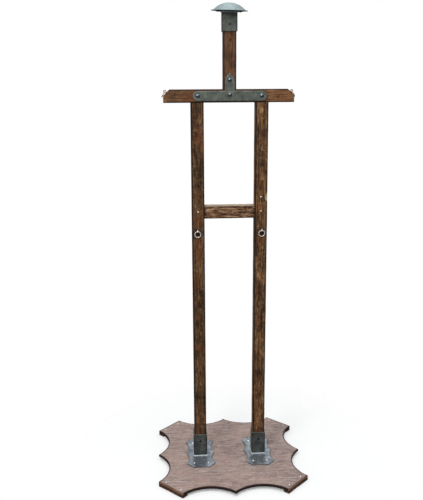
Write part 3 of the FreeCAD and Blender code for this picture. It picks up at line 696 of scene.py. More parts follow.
    def _sawn_end(self, ring, sign):
        """Rings that close a sawn end, towards its middle, with a slightly uneven face."""
        centre = ring.mean(0)
        reach = np.linalg.norm((ring - centre)[:, :2], axis=1, keepdims=True)
        rings = []
        for inset in (0.7 * MM, 3 * MM, 7 * MM, 12 * MM):
            flat = centre + (ring - centre) * np.clip(1 - inset * 1.2 / reach, 0.12, 1)
            dish = 0.25 * MM * field(ring, self.seed + 50, (6 * MM, 6 * MM, 1)) if inset > 1 * MM else 0
            flat[:, 2] = ring[0, 2] - sign * np.abs(dish)
            rings.append(flat)
        return rings

    def build(self, name, node, place, material, tenons=(None, None)):
        """Make the piece. place is (origin, axis a, axis b, axis u), and tenons are those at its two ends."""
        n = len(self.rows)
        a = self.a - self.na * self.depth
        b = self.b - self.nb * self.depth
        rings = list(np.stack([a, b, self.s], 1).reshape(-1, n, 3))
        data = {key: list(value.reshape(-1, n)) for key, value in self.marks.items()}
        data["grain"] = list(self.grain.reshape(-1, n, 3))
        for end, sign, tenon in ((0, -1, tenons[0]), (-1, 1, tenons[1])):
            if tenon:
                extra = self._tenon(rings[end][0, 2], sign, tenon)
            else:
                extra = self._sawn_end(rings[end].copy(), sign)
                rings[end][:, 2] -= sign * 0.7 * MM
            for made in extra:
                rings.insert(0, made) if sign < 0 else rings.append(made)
                for key, rows in data.items():
                    row = made if key == "grain" else rows[end] * (1 if key == "tone" else 0.4)
                    rows.insert(0, row) if sign < 0 else rows.append(row)
        verts, faces = loft(rings)
        origin, axis_a, axis_b, axis_u = place
        world = origin + verts[:, :1] * axis_a + verts[:, 1:2] * axis_b + verts[:, 2:] * axis_u
        return piece(name, world, faces, [node], material, self._flat_marks(data))

    def _flat_marks(self, data):
        """The marks of every vertex, with the middles of the two ends last, and each timber's own grain."""
        marks = {}
        for key, rows in data.items():
            rows = np.array(rows)
            flat = rows.reshape(-1, 3) if key == "grain" else rows.reshape(-1)
            marks[key] = np.concatenate([flat, [rows[0].mean(0), rows[-1].mean(0)]])
        shift = np.random.default_rng(self.seed + 60).uniform(-3, 3, 3)
        marks["grain"] = marks["grain"] + shift * np.array([0.02, 0.02, 1])
        return marks


def lying(origin):
    """Axes of a timber that runs along X, with its front face first."""
    return (origin, -Z, Y, X)


def standing(origin):
    """Axes of an upright timber, with its front face first."""
    return (origin, X, Y, Z)


# Knots are (face, place across it, distance along, radius), and cracks (face, place across it, start, end,
# depth). The faces are those numbered above. All lengths are in millimetres. Posts are measured from the floor,
# and the others from their own starts.
KNOTS = {
    "post_left": [
        (0, 4, 690, 8), (0, -6, 1378, 9), (3, 3, 900, 8), (2, -5, 420, 8), (0, 6, 1238, 6), (1, 0, 560, 8),
    ],
    "post_right": [
        (0, -3, 712, 9), (0, 5, 1260, 8), (1, -4, 830, 8), (2, 6, 1100, 9), (0, -7, 980, 6), (3, 2, 330, 8),
    ],
    "neck": [(0, 2, 178, 7), (3, -4, 70, 7), (2, 6, 130, 8)],
    "bar": [(0, -6, 45, 6), (3, 4, 360, 7), (2, 3, 420, 8), (0, 5, 435, 5)],
    "rung": [(0, -15.5, 176, 4.2), (3, 6, 60, 5), (2, -6, 100, 6)],
}
CRACKS = {
    "post_left": [
        (0, 11, 1180, 1330, 2.0), (0, -9, 250, 430, 1.8), (1, 6, 640, 900, 2.2), (3, -4, 1150, 1380, 2.2),
        (2, 3, 760, 1010, 2.4), (0, -14, 820, 930, 1.4),
    ],
    "post_right": [
        (0, -12, 1150, 1420, 1.8), (0, 8, 480, 690, 2.0), (3, 7, 240, 520, 2.2), (1, -6, 900, 1060, 2.0),
        (2, -2, 420, 660, 2.4), (0, 13, 300, 390, 1.4),
    ],
    "neck": [(0, 9, 115, 215, 1.6), (2, -5, 50, 210, 2.2), (1, 4, 20, 160, 1.8)],
    "bar": [
        (0, 9, 20, 100, 1.7), (0, -3, 405, 480, 1.6), (3, 5, 50, 190, 2.0), (2, -6, 120, 340, 2.2),
        (1, 3, 170, 300, 1.8),
    ],
    "rung": [
        (0, 4, 4, 75, 2.6), (0, 3.2, 105, 190, 2.8), (0, -8, 20, 130, 1.6), (0, 13, 60, 185, 1.6),
        (3, -4, 20, 150, 2.0), (2, 2, 30, 170, 2.2), (3, 9, 70, 190, 1.4),
    ],
}


def metres(rows, foot=0.0):
    """Knot or crack rows in metres, with their distances counted from the timber's foot."""
    made = []
    for face, place, *along, size in rows:
        made.append((face, place * MM, *[distance * MM - foot for distance in along], size * MM))
    return made


def post_flats(name, x, foot):
    """Where fasteners bear on a post's front, as (face, place across it, height). The ring's eye is first."""
    eye_low, eye_high = span(f"post_eye_{name}")
    eye = (eye_low + eye_high) / 2
    heights = [span("rung_screws")[0][2] + 5.5 * MM]
    if name == "right":
        spare_low, spare_high = span("spare_post_screw")
        heights.append((spare_low[2] + spare_high[2]) / 2)
    return [(FRONT, eye[0] - x, eye[2] - foot)] + [(FRONT, 0, z - foot) for z in heights]


def build_posts(materials):
    """Both posts. Fastener heads bear on flat spots, and the right post has its chip."""
    for name, side in SIDES.items():
        low, high = span(f"post_{name}")
        foot, top = low[2], span("shoulder_bar")[0][2]
        x = (low[0] + high[0]) / 2
        half = (high[1] - low[1]) / 2
        cracks = metres(CRACKS[f"post_{name}"], foot)
        corner = [(FRONT, half - 4 * MM), (RIGHT, 4 * MM - half)] if name == "right" else []
        flats = post_flats(name, x, foot)
        _, eye_place, eye_height = flats[0]
        # Painted shadow of the hanging ring on the post's front, below its eye.
        ring_shadow = (FRONT, eye_place, eye_height - 12 * MM, 13 * MM)
        wood = Timber(half, half, top - foot, 100 + side, cracks=cracks, dense=corner, tone=POST_TONE[name])
        wood.wear(13).undulate().dent(40).knots(metres(KNOTS[f"post_{name}"], foot))
        wood.keep(flats).crack().dirt_and_shade([(*flat, 9 * MM) for flat in flats] + [ring_shadow])
        if name == "right":
            wood.chip(CHIP_Z - foot, CHIP_LENGTH, CHIP_DEPTH)
        wood.build(f"post_{name}_timber", f"post_{name}", standing(np.array([x, 0, foot])),
                   materials["post_wood"], (None, TENON))


def build_neck(materials):
    """The neck post, with a tenon at its foot."""
    low, high = span("neck_post")
    half = (high[1] - low[1]) / 2
    foot = low[2] + TENON[2]
    strap_low, strap_high = span("neck_strap")
    wood = Timber(half, half, high[2] - foot, 210, cracks=metres(CRACKS["neck"]), tone=NECK_TONE)
    wood.wear(4).undulate().dent(9).knots(metres(KNOTS["neck"]))
    middle = (strap_low[2] + strap_high[2]) / 2 - foot
    wood.keep([(FRONT, 0, middle), (FRONT, 0, middle + 22 * MM), (REAR, 0, middle + 8 * MM)], 22 * MM).crack()
    wood.build("neck_post_timber", "neck_post", standing(np.array([0, 0, foot])),
               materials["bar_wood"], (TENON, None))


def build_bar(materials):
    """The shoulder bar, with its upper corners cut off."""
    low, high = span("shoulder_bar")
    half = (high[1] - low[1]) / 2
    length = high[0] - low[0]
    wood = Timber(half, half, length, 320, step=3 * MM, cracks=metres(CRACKS["bar"]))
    cut = BAR_END_CUT
    wood.wear(5).undulate().dent(16).knots(metres(KNOTS["bar"]))
    strap_low, strap_high = span("shoulder_strap")
    round_end = (strap_high[2] - strap_low[2]) / 2
    xs = np.array([strap_low[0] + round_end, 0, strap_high[0] - round_end]) - low[0]
    wood.keep([(face, 0, x) for x in xs for face in (LYING_FRONT, LYING_REAR)], 20 * MM)
    wood.keep([(LYING_TOP, 0, cut / 2), (LYING_TOP, 0, length - cut / 2)], 12 * MM).crack()
    for edge in (cut, length - cut):
        nearest = wood.u[np.argmin(np.abs(wood.u - edge))]
        wood.s[wood.s == nearest] = edge
    wood.slope_ends(cut)
    wood.build("shoulder_bar_timber", "shoulder_bar", lying(np.array([low[0], 0, (low[2] + high[2]) / 2])),
               materials["bar_wood"])


def build_rung(materials):
    """The weathered rung, with open cracks along its front and a tenon at each end."""
    low, high = span("rung")
    reach = span("post_right")[0][0]
    half = (high[1] - low[1]) / 2
    cracks = metres(CRACKS["rung"])
    wood = Timber(half, half, 2 * reach, 430, step=2.5 * MM, gap=2.4 * MM, cracks=cracks)
    wood.wear(5, 0.8 * MM).undulate(0.45 * MM).dent(8).knots(metres(KNOTS["rung"])).crack()
    # Darker near both ends, where the rung meets the posts.
    wood.dirt_and_shade([(LYING_FRONT, p, u, 8 * MM) for u in (0, 2 * reach) for p in (-12 * MM, 6 * MM)])
    wood.build("rung_timber", "rung", lying(np.array([-reach, 0, (low[2] + high[2]) / 2])),
               materials["rung_wood"], (TENON, TENON))


def build_strips(materials):
    """The strips under the base board's cut corners."""
    for index, end in enumerate(("front", "rear")):
        for name, side in SIDES.items():
            node = f"corner_strip_{end}_{name}"
            low, high = span(node)
            middle = (low + high) / 2
            out = np.array([side, 2 * index - 1, 0]) / math.sqrt(2)
            along = np.cross(out, Z)
            thick = high[2] - low[2]
            extent = (high[0] - low[0]) * math.sqrt(2)
            length = BOARD_CORNER_CUT * math.sqrt(2) - 1 * MM
            width = extent - length
            wood = Timber(width / 2, thick / 2, length, 500 + 10 * index + side)
            wood.wear(3, 0.25 * MM).undulate(0.15 * MM).dent(4)
            origin = middle - along * length / 2
            wood.build(f"{node}_timber", node, (origin, out, Z, along), materials["strip_wood"])


# ---- boards and plates ---------------------------------------------------------------------------


def arc_points(start, middle, end, gap):
    """Points on the arc through three points, without its end."""
    (x1, y1), (x2, y2), (x3, y3) = start, middle, end
    d = 2 * (x1 * (y2 - y3) + x2 * (y3 - y1) + x3 * (y1 - y2))
    s1, s2, s3 = x1 * x1 + y1 * y1, x2 * x2 + y2 * y2, x3 * x3 + y3 * y3
    cx = (s1 * (y2 - y3) + s2 * (y3 - y1) + s3 * (y1 - y2)) / d
    cy = (s1 * (x3 - x2) + s2 * (x1 - x3) + s3 * (x2 - x1)) / d
    r = math.hypot(x1 - cx, y1 - cy)
    first, mid, last = (math.atan2(y - cy, x - cx) for x, y in (start, middle, end))
    sweep = (last - first) % (2 * math.pi)
    if (mid - first) % (2 * math.pi) > sweep:
        sweep -= 2 * math.pi
    turns = stations(0, sweep, gap / r)[:-1] if sweep else []
    return [(cx + r * math.cos(first + t), cy + r * math.sin(first + t)) for t in turns]


def line_points(start, end, gap):
    """Points on a straight run, without its end."""
    start, end = np.array(start), np.array(end)
    shares = stations(0, 1, gap / np.linalg.norm(end - start))[:-1]
    return [tuple(start + (end - start) * t) for t in shares]


def scallops(half_x, half_y, cut_x, cut_y, bites_x, sag_x, sag_y, gap):
    """Anticlockwise outline with cut corners and arcs bitten out of the sides, about the origin."""
    runs = [
        ((cut_x - half_x, -half_y), (half_x - cut_x, -half_y), (0, sag_x), bites_x),
        ((half_x, cut_y - half_y), (half_x, half_y - cut_y), (-sag_y, 0), 2),
        ((half_x - cut_x, half_y), (cut_x - half_x, half_y), (0, -sag_x), bites_x),
        ((-half_x, half_y - cut_y), (-half_x, cut_y - half_y), (sag_y, 0), 2),
    ]
    points = []
    for i, (start, end, sag, bites) in enumerate(runs):
        start, end, sag = np.array(start), np.array(end), np.array(sag)
        step = (end - start) / bites
        for k in range(bites):
            a = start + step * k
            points += arc_points(a, a + step / 2 + sag, a + step, gap)
        points += line_points(end, runs[(i + 1) % 4][0], gap)
    return np.array(points)


def inward(outline):
    """For each point of an anticlockwise outline, the move that shifts both its sides in by one."""
    before = outline - np.roll(outline, 1, 0)
    after = np.roll(outline, -1, 0) - outline
    left_before, left_after = (
        np.stack([-v[:, 1], v[:, 0]], 1) / np.linalg.norm(v, axis=1, keepdims=True) for v in (before, after)
    )
    both = left_before + left_after
    return both / np.clip((both * left_before).sum(1, keepdims=True), 0.2, None)


def inside(points, outline):
    """Which points lie inside an outline."""
    x, y = points[:, :1], points[:, 1:2]
    x1, y1 = outline.T
    x2, y2 = np.roll(outline, -1, 0).T
    crosses = (y1 > y) != (y2 > y)
    with np.errstate(divide="ignore", invalid="ignore"):
        cut = (x2 - x1) * (y - y1) / (y2 - y1) + x1
    return (crosses & (x < cut)).sum(1) % 2 == 1


def fill(outline, gap_x, gap_y):
    """Triangles over an outline, through a brick pattern of inner points."""
    low, high = outline.min(0), outline.max(0)
    grid = []
    for row, y in enumerate(stations(low[1], high[1], gap_y)):
        offset = gap_x / 2 if row % 2 else 0
        grid += [(x, y) for x in np.arange(low[0] + offset, high[0], gap_x)]
    grid = np.array(grid)
    grid = grid[inside(grid, outline)]
    away = np.array([np.hypot(*(outline - point).T).min() for point in grid])
    room = 0.6 * min(gap_x, gap_y)
    grid = grid[away > room]
    points = np.vstack([outline, grid])
    n = len(outline)
    edges = [(i, (i + 1) % n) for i in range(n)]
    made = delaunay_2d_cdt([Vector(p) for p in points], edges, [], 1, 1e-7)
    origin = [ids[0] for ids in made[3]]
    return grid, [tuple(origin[v] for v in face) for face in made[2]]


def sheet(name, outline, low, high, rings, gaps, relief, axes, nodes, material, fade, rough_cut=0.0):
    """Flat piece with an edge profile and a worn top.

    rings are (inset, height from the bottom, edge mark) round the edge, from the bottom to the top.
    relief(points) is how deep the top is worn, and axes are (origin, axis x, axis y, axis z).
    """
    step = inward(outline)
    ring_points = []
    for inset, height, _ in rings:
        plan = np.column_stack([outline, np.full(len(outline), height)])
        saw = 0.5 + 0.5 * field(plan, 7, (22 * MM, 22 * MM, 9 * MM))
        ring_points.append(outline + step * (inset + rough_cut * saw)[:, None])
    top_grid, top_faces = fill(ring_points[-1], *gaps)
    low_grid, low_faces = fill(ring_points[0], 3 * gaps[0], 3 * gaps[1])
    n, count = len(outline), len(rings)
    heights = np.repeat([low + h for _, h, _ in rings], n)
    plan = np.vstack(ring_points + [top_grid, low_grid])
    z = np.concatenate([heights, np.full(len(top_grid), high), np.full(len(low_grid), low)])
    ring_marks = np.repeat([mark for _, _, mark in rings], n)
    edge_fade = [np.hypot(*(ring_points[-1] - point).T).min() for point in top_grid]
    top_marks = rings[-1][2] * np.exp(-np.array(edge_fade) / fade)
    marks = np.concatenate([ring_marks, top_marks, np.full(len(low_grid), 0.5)])
    ring_walls = np.repeat([1.0] * (count - 1) + [0.15], n)
    wall = np.concatenate([ring_walls, np.zeros(len(top_grid)), np.ones(len(low_grid))])
    points = np.column_stack([plan, z])
    share = np.clip((z - low) / (high - low), 0, 1)
    points[:, 2] -= relief(points) * share
    faces = []
    for r in range(count - 1):
        for i in range(n):
            j = (i + 1) % n
            faces.append((r * n + i, r * n + j, (r + 1) * n + j, (r + 1) * n + i))
    top_start, low_start = count * n, count * n + len(top_grid)
    last = (count - 1) * n
    for face in top_faces:
        faces.append(tuple(last + v if v < n else top_start + v - n for v in face))
    for face in low_faces:
        faces.append(tuple(v if v < n else low_start + v - n for v in reversed(face)))
    origin, axis_x, axis_y, axis_z = axes
    world = origin + points[:, :1] * axis_x + points[:, 1:2] * axis_y + points[:, 2:] * axis_z
    grain = points[:, [1, 2, 0]]
    return piece(name, world, faces, nodes, material, {"edge": marks, "grain": grain, "wall": wall})


def build_board(materials):
    """The scalloped base board. Its grain runs from side to side."""
    low, high = span("base_board")
    half = (high - low) / 2
    thick = high[2] - low[2]

    def relief(points):
        slow = field(points * [1, 1, 0], 3, (260 * MM, 120 * MM, 1)) * 0.5 + 0.5
        grain = field(points * [1, 1, 0], 4, (130 * MM, 9 * MM, 1)) * 0.5 + 0.5
        rng = np.random.default_rng(12)
        depth = 0.22 * MM * slow + 0.14 * MM * grain
        for _ in range(70):
            spot = rng.uniform(-1, 1, 2) * half[:2]
            size, bite = rng.uniform(4, 13) * MM, rng.uniform(0.15, 0.6) * MM
            away = np.hypot((points[:, 0] - spot[0]) / rng.uniform(1, 2.5), points[:, 1] - spot[1])
            depth = depth + bite * closeness(away, size)
        return depth

    cuts, bites = [BOARD_CORNER_CUT] * 2, [BOARD_BITE] * 2
    outline = scallops(half[0], half[1], *cuts, 2, *bites, 4 * MM)
    rings = [
        (1.0 * MM, 0.0, 0.8), (0.0, 0.9 * MM, 1.0), (0.0, 0.33 * thick, 1.0), (0.0, 0.66 * thick, 1.0),
        (0.0, thick - 1.3 * MM, 1.0), (0.4 * MM, thick - 0.45 * MM, 1.0), (1.4 * MM, thick, 1.0),
    ]
    axes = (np.zeros(3), X, Y, Z)
    sheet("base_board_worn", outline, low[2], high[2], rings, (9 * MM, 5 * MM), relief, axes, ["base_board"],
          materials["base_wood"], 3.5 * MM, rough_cut=0.5 * MM)


def steel_relief(seed, depth):
    """Faint hammering and rolling marks for sheet steel."""

    def relief(points):
        flat = points * [1, 1, 0]
        slow = field(flat, seed, (55 * MM, 55 * MM, 1)) * 0.5 + 0.5
        fine = field(flat, seed + 1, (12 * MM, 12 * MM, 1)) * 0.5 + 0.5
        return depth * (0.65 * slow + 0.35 * fine)

    return relief


def steel_rings(thick, ease, edge_mask=0.4):
    """Edge profile of sheet steel with an eased top edge. edge_mask is how strongly the edge tone shows: worn
    metal on the iron, painted shade on the socket plates.
    """
    return [
        (0.25 * MM, 0.0, 0.0), (0.0, 0.25 * MM, 0.0), (0.0, thick - ease, 0.3 * edge_mask),
        (0.3 * ease, thick - 0.3 * ease, edge_mask), (ease, thick, 0.7 * edge_mask),
    ]


def build_plates(materials):
    """The two socket plates."""
    for index, name in enumerate(SIDES):
        low, high = span(f"socket_plate_{name}")
        half = (high - low) / 2
        outline = scallops(half[0], half[1], *PLATE_CUT, 1, *PLATE_BITES, 2.2 * MM)
        axes = (np.array([(low[0] + high[0]) / 2, 0, 0]), X, Y, Z)
        sheet(f"socket_plate_{name}_worn", outline, low[2], high[2], steel_rings(high[2] - low[2], 0.7 * MM),
              (5 * MM, 5 * MM), steel_relief(40 + index, 0.16 * MM), axes, [f"socket_plate_{name}"],
              materials["plate_steel"], 1.2 * MM)


def build_straps(materials):
    """The T strap's two arms, drawn in the plane of the front."""
    low, high = span("shoulder_strap")
    radius = (high[2] - low[2]) / 2
    reach = (high[0] - low[0]) / 2 - radius
    thick = high[1] - low[1]
    z0, z1 = low[2], high[2]
    middle = (z0 + z1) / 2
    gap = 2.5 * MM
    outline = line_points((-reach, z0), (reach, z0), gap)
    outline += arc_points((reach, z0), (reach + radius, middle), (reach, z1), gap)
    outline += line_points((reach, z1), (-reach, z1), gap)
    outline += arc_points((-reach, z1), (-reach - radius, middle), (-reach, z0), gap)
    axes = (np.array([0, high[1], 0]), X, Z, -Y)
    sheet("shoulder_strap_worn", np.array(outline), 0.0, thick, steel_rings(thick, 0.6 * MM),
          (5 * MM, 4 * MM), steel_relief(50, 0.18 * MM), axes, ["shoulder_strap"],
          materials["lit_strap_iron"], 1.2 * MM)

    low, high = span("neck_strap")
    half = (high[0] - low[0]) / 2
    tip, spring = (0.0, high[2]), TONGUE_SPRING_Z
    swell_x, swell_z = TONGUE_SWELL
    outline = line_points((-half, low[2]), (half, low[2]), gap)
    outline += line_points((half, low[2]), (half, spring), gap)
    outline += arc_points((half, spring), (swell_x, spring + swell_z), tip, gap)
    outline += arc_points(tip, (-swell_x, spring + swell_z), (-half, spring), gap)
    outline += line_points((-half, spring), (-half, low[2]), gap)
    sheet("neck_strap_worn", np.array(outline), 0.0, thick, steel_rings(thick, 0.4 * MM), (4 * MM, 4 * MM),
          steel_relief(52, 0.12 * MM), axes, ["neck_strap"], materials["lit_strap_iron"], 1.2 * MM)


def lean(points):
    """Tilt points of the cap about the middle of the sleeve's top."""
    forward, sideways = CAP_LEAN
    turn = np.array(Matrix.Rotation(forward, 3, "X") @ Matrix.Rotation(sideways, 3, "Y"))
    pivot = np.array([0, 0, span("cap_sleeve")[1][2]])
    return (points - pivot) @ turn.T + pivot


def build_cap_plate(materials):
    """The plate under the brim, with clipped corners."""
    low, high = span("cap_plate")
    hx, hy = high[0], high[1]
    c, gap = CAP_PLATE_CLIP, 3 * MM
    corners = [(c - hx, -hy), (hx - c, -hy), (hx, c - hy), (hx, hy - c),
               (hx - c, hy), (c - hx, hy), (-hx, hy - c), (-hx, c - hy)]
    outline = []
    for i, corner in enumerate(corners):
        outline += line_points(corner, corners[(i + 1) % 8], gap)
    rings = steel_rings(high[2] - low[2], 0.4 * MM)
    plate = sheet("cap_plate_worn", np.array(outline), low[2], high[2], rings, (6 * MM, 6 * MM),
                  steel_relief(60, 0.0), (np.zeros(3), X, Y, Z), ["cap_plate"],
                  materials["shaded_under_iron"], 1.2 * MM)
    reshape(plate, lean)


# ---- tubes, welds, dome and rings ----------------------------------------------------------------


def rounded_square(half, radius, gap):
    """Anticlockwise points and outward normals of a square with rounded corners."""
    points, normals = [], []
    flat = half - radius
    for quarter in range(4):
        turn = quarter * math.pi / 2
        out = np.array([math.cos(turn), math.sin(turn)])
        along = np.array([-out[1], out[0]])
        for p in stations(-flat, flat, gap)[:-1]:
            points.append(out * half + along * p)
            normals.append(out)
        steps = max(4, int(radius * math.pi / 2 / gap) + 1)
        for k in range(steps):
            bend = k / steps * math.pi / 2
            normal = out * math.cos(bend) + along * math.sin(bend)
            points.append(out * flat + along * flat + normal * radius)
            normals.append(normal)
    return np.array(points), np.array(normals)


def build_tube(name, node, rim_end, material):
    """Square tube with a rounded rim and faint dents. rim_end is 1 if the rim is its top, -1 if its foot."""
    low, high = span(node)
    centre = (low + high) / 2
    half = (high[0] - low[0]) / 2
    points, normals = rounded_square(half, TUBE_CORNER, 2.6 * MM)
    levels = stations(low[2], high[2], 4 * MM)
    if rim_end < 0:
        levels = levels[::-1]
    ends = levels[-1]
    profile = [(0.0, z, 0.0) for z in levels[:-1]]
    profile += [(0.0, ends - rim_end * 0.9 * MM, 0.5), (0.25 * MM, ends - rim_end * 0.3 * MM, 1.0)]
    profile += [(0.9 * MM, ends, 1.0), (TUBE_WALL - 0.6 * MM, ends, 0.8)]
    profile += [(TUBE_WALL, ends - rim_end * 0.6 * MM, 0.5), (TUBE_WALL, levels[0], 0.0)]
    # Painted shade along the tube's rounded corners, below the rim.
    corner = closeness(half - np.abs(points).min(1), 3.2 * MM)
    rings, marks, darkening = [], [], []
    for inset, z, mark in profile:
        ring = np.column_stack([points - normals * inset, np.full(len(points), z)])
        if inset < TUBE_WALL / 2:
            wave = field(ring + centre * 3, 70, (26 * MM, 26 * MM, 30 * MM)) * 0.5 + 0.5
            ring[:, :2] -= normals * (0.22 * MM * wave)[:, None]
        rings.append(ring + [centre[0], centre[1], 0])
        marks.append(np.full(len(points), 0.8 * mark))
        darkening.append(corner * (1 - mark))
    if rim_end < 0:
        rings, marks, darkening = rings[::-1], marks[::-1], darkening[::-1]
    verts, faces = loft(rings, closed=True)
    data = {"edge": np.concatenate(marks), "darkening": np.concatenate(darkening)}
    piece(name, verts, faces, [node], material, data)


def build_weld(name, node, tube_node, root_end, materials):
    """Rippled fillet weld round a tube. root_end is -1 if the plate is below it, and 1 if above."""
    low, high = span(node)
    centre = (low + high) / 2
    tube_low, tube_high = span(tube_node)
    half = (tube_high[0] - tube_low[0]) / 2
    points, normals = rounded_square(half, TUBE_CORNER, 0.7 * MM)
    root = low[2] if root_end < 0 else high[2]
    run = np.concatenate([[0], np.cumsum(np.linalg.norm(np.diff(points, axis=0), axis=1))])
    ripple_length = 2.6 * MM
    flat = np.column_stack([points, np.zeros(len(points))])
    uneven = field(flat, 81, (14 * MM, 14 * MM, 1))
    rings, marks = [], []
    steps = 9
    for k in range(steps):
        t = k / (steps - 1)
        lag = 2.2 * (2 * t - 1) ** 2
        ripple = np.cos(2 * math.pi * run / ripple_length + lag)
        belly = math.sin(math.pi * t)
        grow = belly * (0.85 * MM + 0.28 * MM * ripple + 0.25 * MM * uneven) - 0.5 * MM * belly
        reach = WELD_LEG * (1 - t) * (0.9 + 0.08 * uneven) + grow * 0.7
        rise = WELD_LEG * t * (0.9 + 0.08 * uneven) + grow * 0.7
        ring = np.column_stack([points + normals * reach[:, None], root - root_end * rise])
        rings.append(ring + [centre[0], centre[1], 0])
        marks.append(np.full(len(points), abs(2 * t - 1) ** 3))
    inner = np.column_stack([points - normals * 0.3 * MM, np.full(len(points), root)])
    rings.append(inner + [centre[0], centre[1], 0])
    marks.append(np.zeros(len(points)))
    if root_end > 0:
        rings, marks = rings[::-1], marks[::-1]
    verts, faces = loft(rings, closed=True)
    edge = {"edge": np.concatenate(marks)}
    return piece(name, verts, faces, [node], materials["weld_steel"], edge, sharp=60)


def turned(name, profile, nodes, material, ripple=0.0, segments=144):
    """Piece turned about the Z axis from (r, z, edge mark) rows that run from bottom inside to top outside.

    ripple is the depth of the hammer marks.
    """
    turns = np.arange(segments) * 2 * math.pi / segments
    rings, marks = [], []
    for r, z, mark in profile:
        ring = np.column_stack([r * np.cos(turns), r * np.sin(turns), np.full(segments, z)])
        plan = ring * [1, 1, 0]
        hammered = field(plan, 91, (30 * MM, 30 * MM, 1)) * 0.5 + 0.5
        ring[:, 2] -= ripple * hammered
        rings.append(ring)
        marks.append(np.full(segments, mark))
    closed = profile[0][0] > 1 * MM and profile[-1][0] > 1 * MM
    verts, faces = loft(rings, closed=closed)
    values = np.concatenate(marks if closed else marks + [[marks[0][0], marks[-1][0]]])
    piece(name, lean(verts), faces, nodes, material, {"edge": values})


def build_brim(materials):
    """The brim disc, with its rounded edge."""
    low, high = span("cap_brim")
    r, base, top = (high[0] - low[0]) / 2, low[2], high[2]
    disc = [(s, base, 0.0) for s in stations(0.5 * MM, r - 1.2 * MM, 6 * MM)]
    disc += [(r - 0.3 * MM, base + 0.3 * MM, 0.6), (r, (base + top) / 2, 1.0)]
    disc += [(r - 0.3 * MM, top - 0.3 * MM, 1.0)]
    disc += [(s, top, 0.2) for s in stations(r - 1.2 * MM, 0.5 * MM, 3 * MM)]
    turned("cap_brim_worn", disc, ["cap_brim"], materials["dome_steel"])


def dome_ball():
    """The ball that the dome is cut from: its radius, its centre's height, and the dome's foot radius."""
    low, high = span("cap_dome")
    foot_r, rise = (high[0] - low[0]) / 2, high[2] - low[2]
    ball = (foot_r**2 + rise**2) / (2 * rise)
    return ball, high[2] - ball, foot_r


def build_dome(materials):
    """The pressed dome, with faint hammer marks."""
    foot = span("cap_dome")[0][2]
    ball, centre, foot_r = dome_ball()
    inner = ball - DOME_T
    inner_r = math.sqrt(inner**2 - (foot - centre) ** 2)
    shell = [(s, centre + math.sqrt(inner**2 - s * s), 0.0) for s in stations(0.5 * MM, inner_r, 5 * MM)]
    for s in stations(foot_r, 0.5 * MM, 3 * MM):
        shell.append((s, centre + math.sqrt(max(ball**2 - s * s, 0)), 0.0))
    turned("cap_dome_pressed", shell, ["cap_dome"], materials["dome_steel"], ripple=0.15 * MM)


def build_dome_weld(materials):
    """The weld round the dome's foot."""
    high = span("cap_dome_weld")[1]
    foot = span("cap_dome")[0][2]
    ball, centre, foot_r = dome_ball()
    out = high[0] + 1.6 * MM
    up = high[2] + 1.2 * MM
    on_dome = math.sqrt(ball**2 - (up - centre) ** 2)
    bead = [(foot_r - 0.5 * MM, foot, 0.0), (out, foot, 0.0)]
    for t in (0.2, 0.4, 0.6, 0.8):
        sag = 0.35 * math.sin(math.pi * t)
        bead.append((out + (on_dome - out) * (t + 0.3 * sag), foot + (up - foot) * (t - 0.3 * sag), 0.0))
    bead.append((on_dome, up, 0.0))
    turned("cap_dome_weld_bead", bead, ["cap_dome_weld"], materials["dome_steel"])


def rivet_profile(bottom, plate, brim, top, head_r):
    """(r, z) rows of a rivet, from its tail below the plate to its head above the brim."""
    tail_r = 0.9 * head_r
    tail_turns = stations(0.1, math.pi / 2, 0.3)
    tail = [(tail_r * math.sin(t), plate - (plate - bottom) * math.cos(t)) for t in tail_turns]
    head = [(head_r * math.cos(t), brim + (top - brim) * math.sin(t)) for t in stations(0, 1.47, 0.3)]
    return tail + [(head_r / 2, plate), (head_r / 2, brim)] + head


def build_rivets(materials):
    """The two rivets that hold the brim to the plate."""
    low, high = span("cap_rivets")
    head_r = (high[1] - low[1]) / 2
    reach = high[0] - head_r
    profile = rivet_profile(low[2], span("cap_plate")[0][2], span("cap_dome")[0][2], high[2], head_r)
    turns = np.arange(24) * math.pi / 12
    verts, faces = [], []
    for side in SIDES.values():
        rings = []
        for r, z in profile:
            across = side * reach + r * np.cos(turns)
            rings.append(np.column_stack([across, r * np.sin(turns), np.full(len(turns), z)]))
        made, joined = loft(rings)
        faces += [tuple(v + len(verts) for v in face) for face in joined]
        verts += list(made)
    tilted = lean(np.array(verts))
    piece("cap_rivets_worn", tilted, faces, ["cap_rivets"], materials["shaded_under_iron"])


def sweep_ring(name, node, body, middle, radius, wire, first, second, material):
    """Wire ring in the plane of two unit vectors, with a fine butt joint opposite the first one."""
    segments, sides = 120, 20
    normal = np.cross(first, second)
    rings = []
    for k in range(segments):
        turn = 2 * math.pi * k / segments
        out = first * math.cos(turn) + second * math.sin(turn)
        from_joint = abs((turn - math.pi * 0.82 + math.pi) % (2 * math.pi) - math.pi)
        groove = 0.16 * MM * math.exp(-((from_joint / 0.035) ** 2))
        flat = 0.05 * MM * (1 + math.sin(3 * turn + 0.6))
        size = wire - groove - flat
        ring = []
        for s in range(sides):
            bend = 2 * math.pi * s / sides
            ring.append(middle + out * (radius + size * math.cos(bend)) + normal * size * math.sin(bend))
        rings.append(ring)
    verts, faces = loft(rings, closed=True)
    piece(name, verts, [f[::-1] for f in faces], [node], material, body=body, sharp=60)


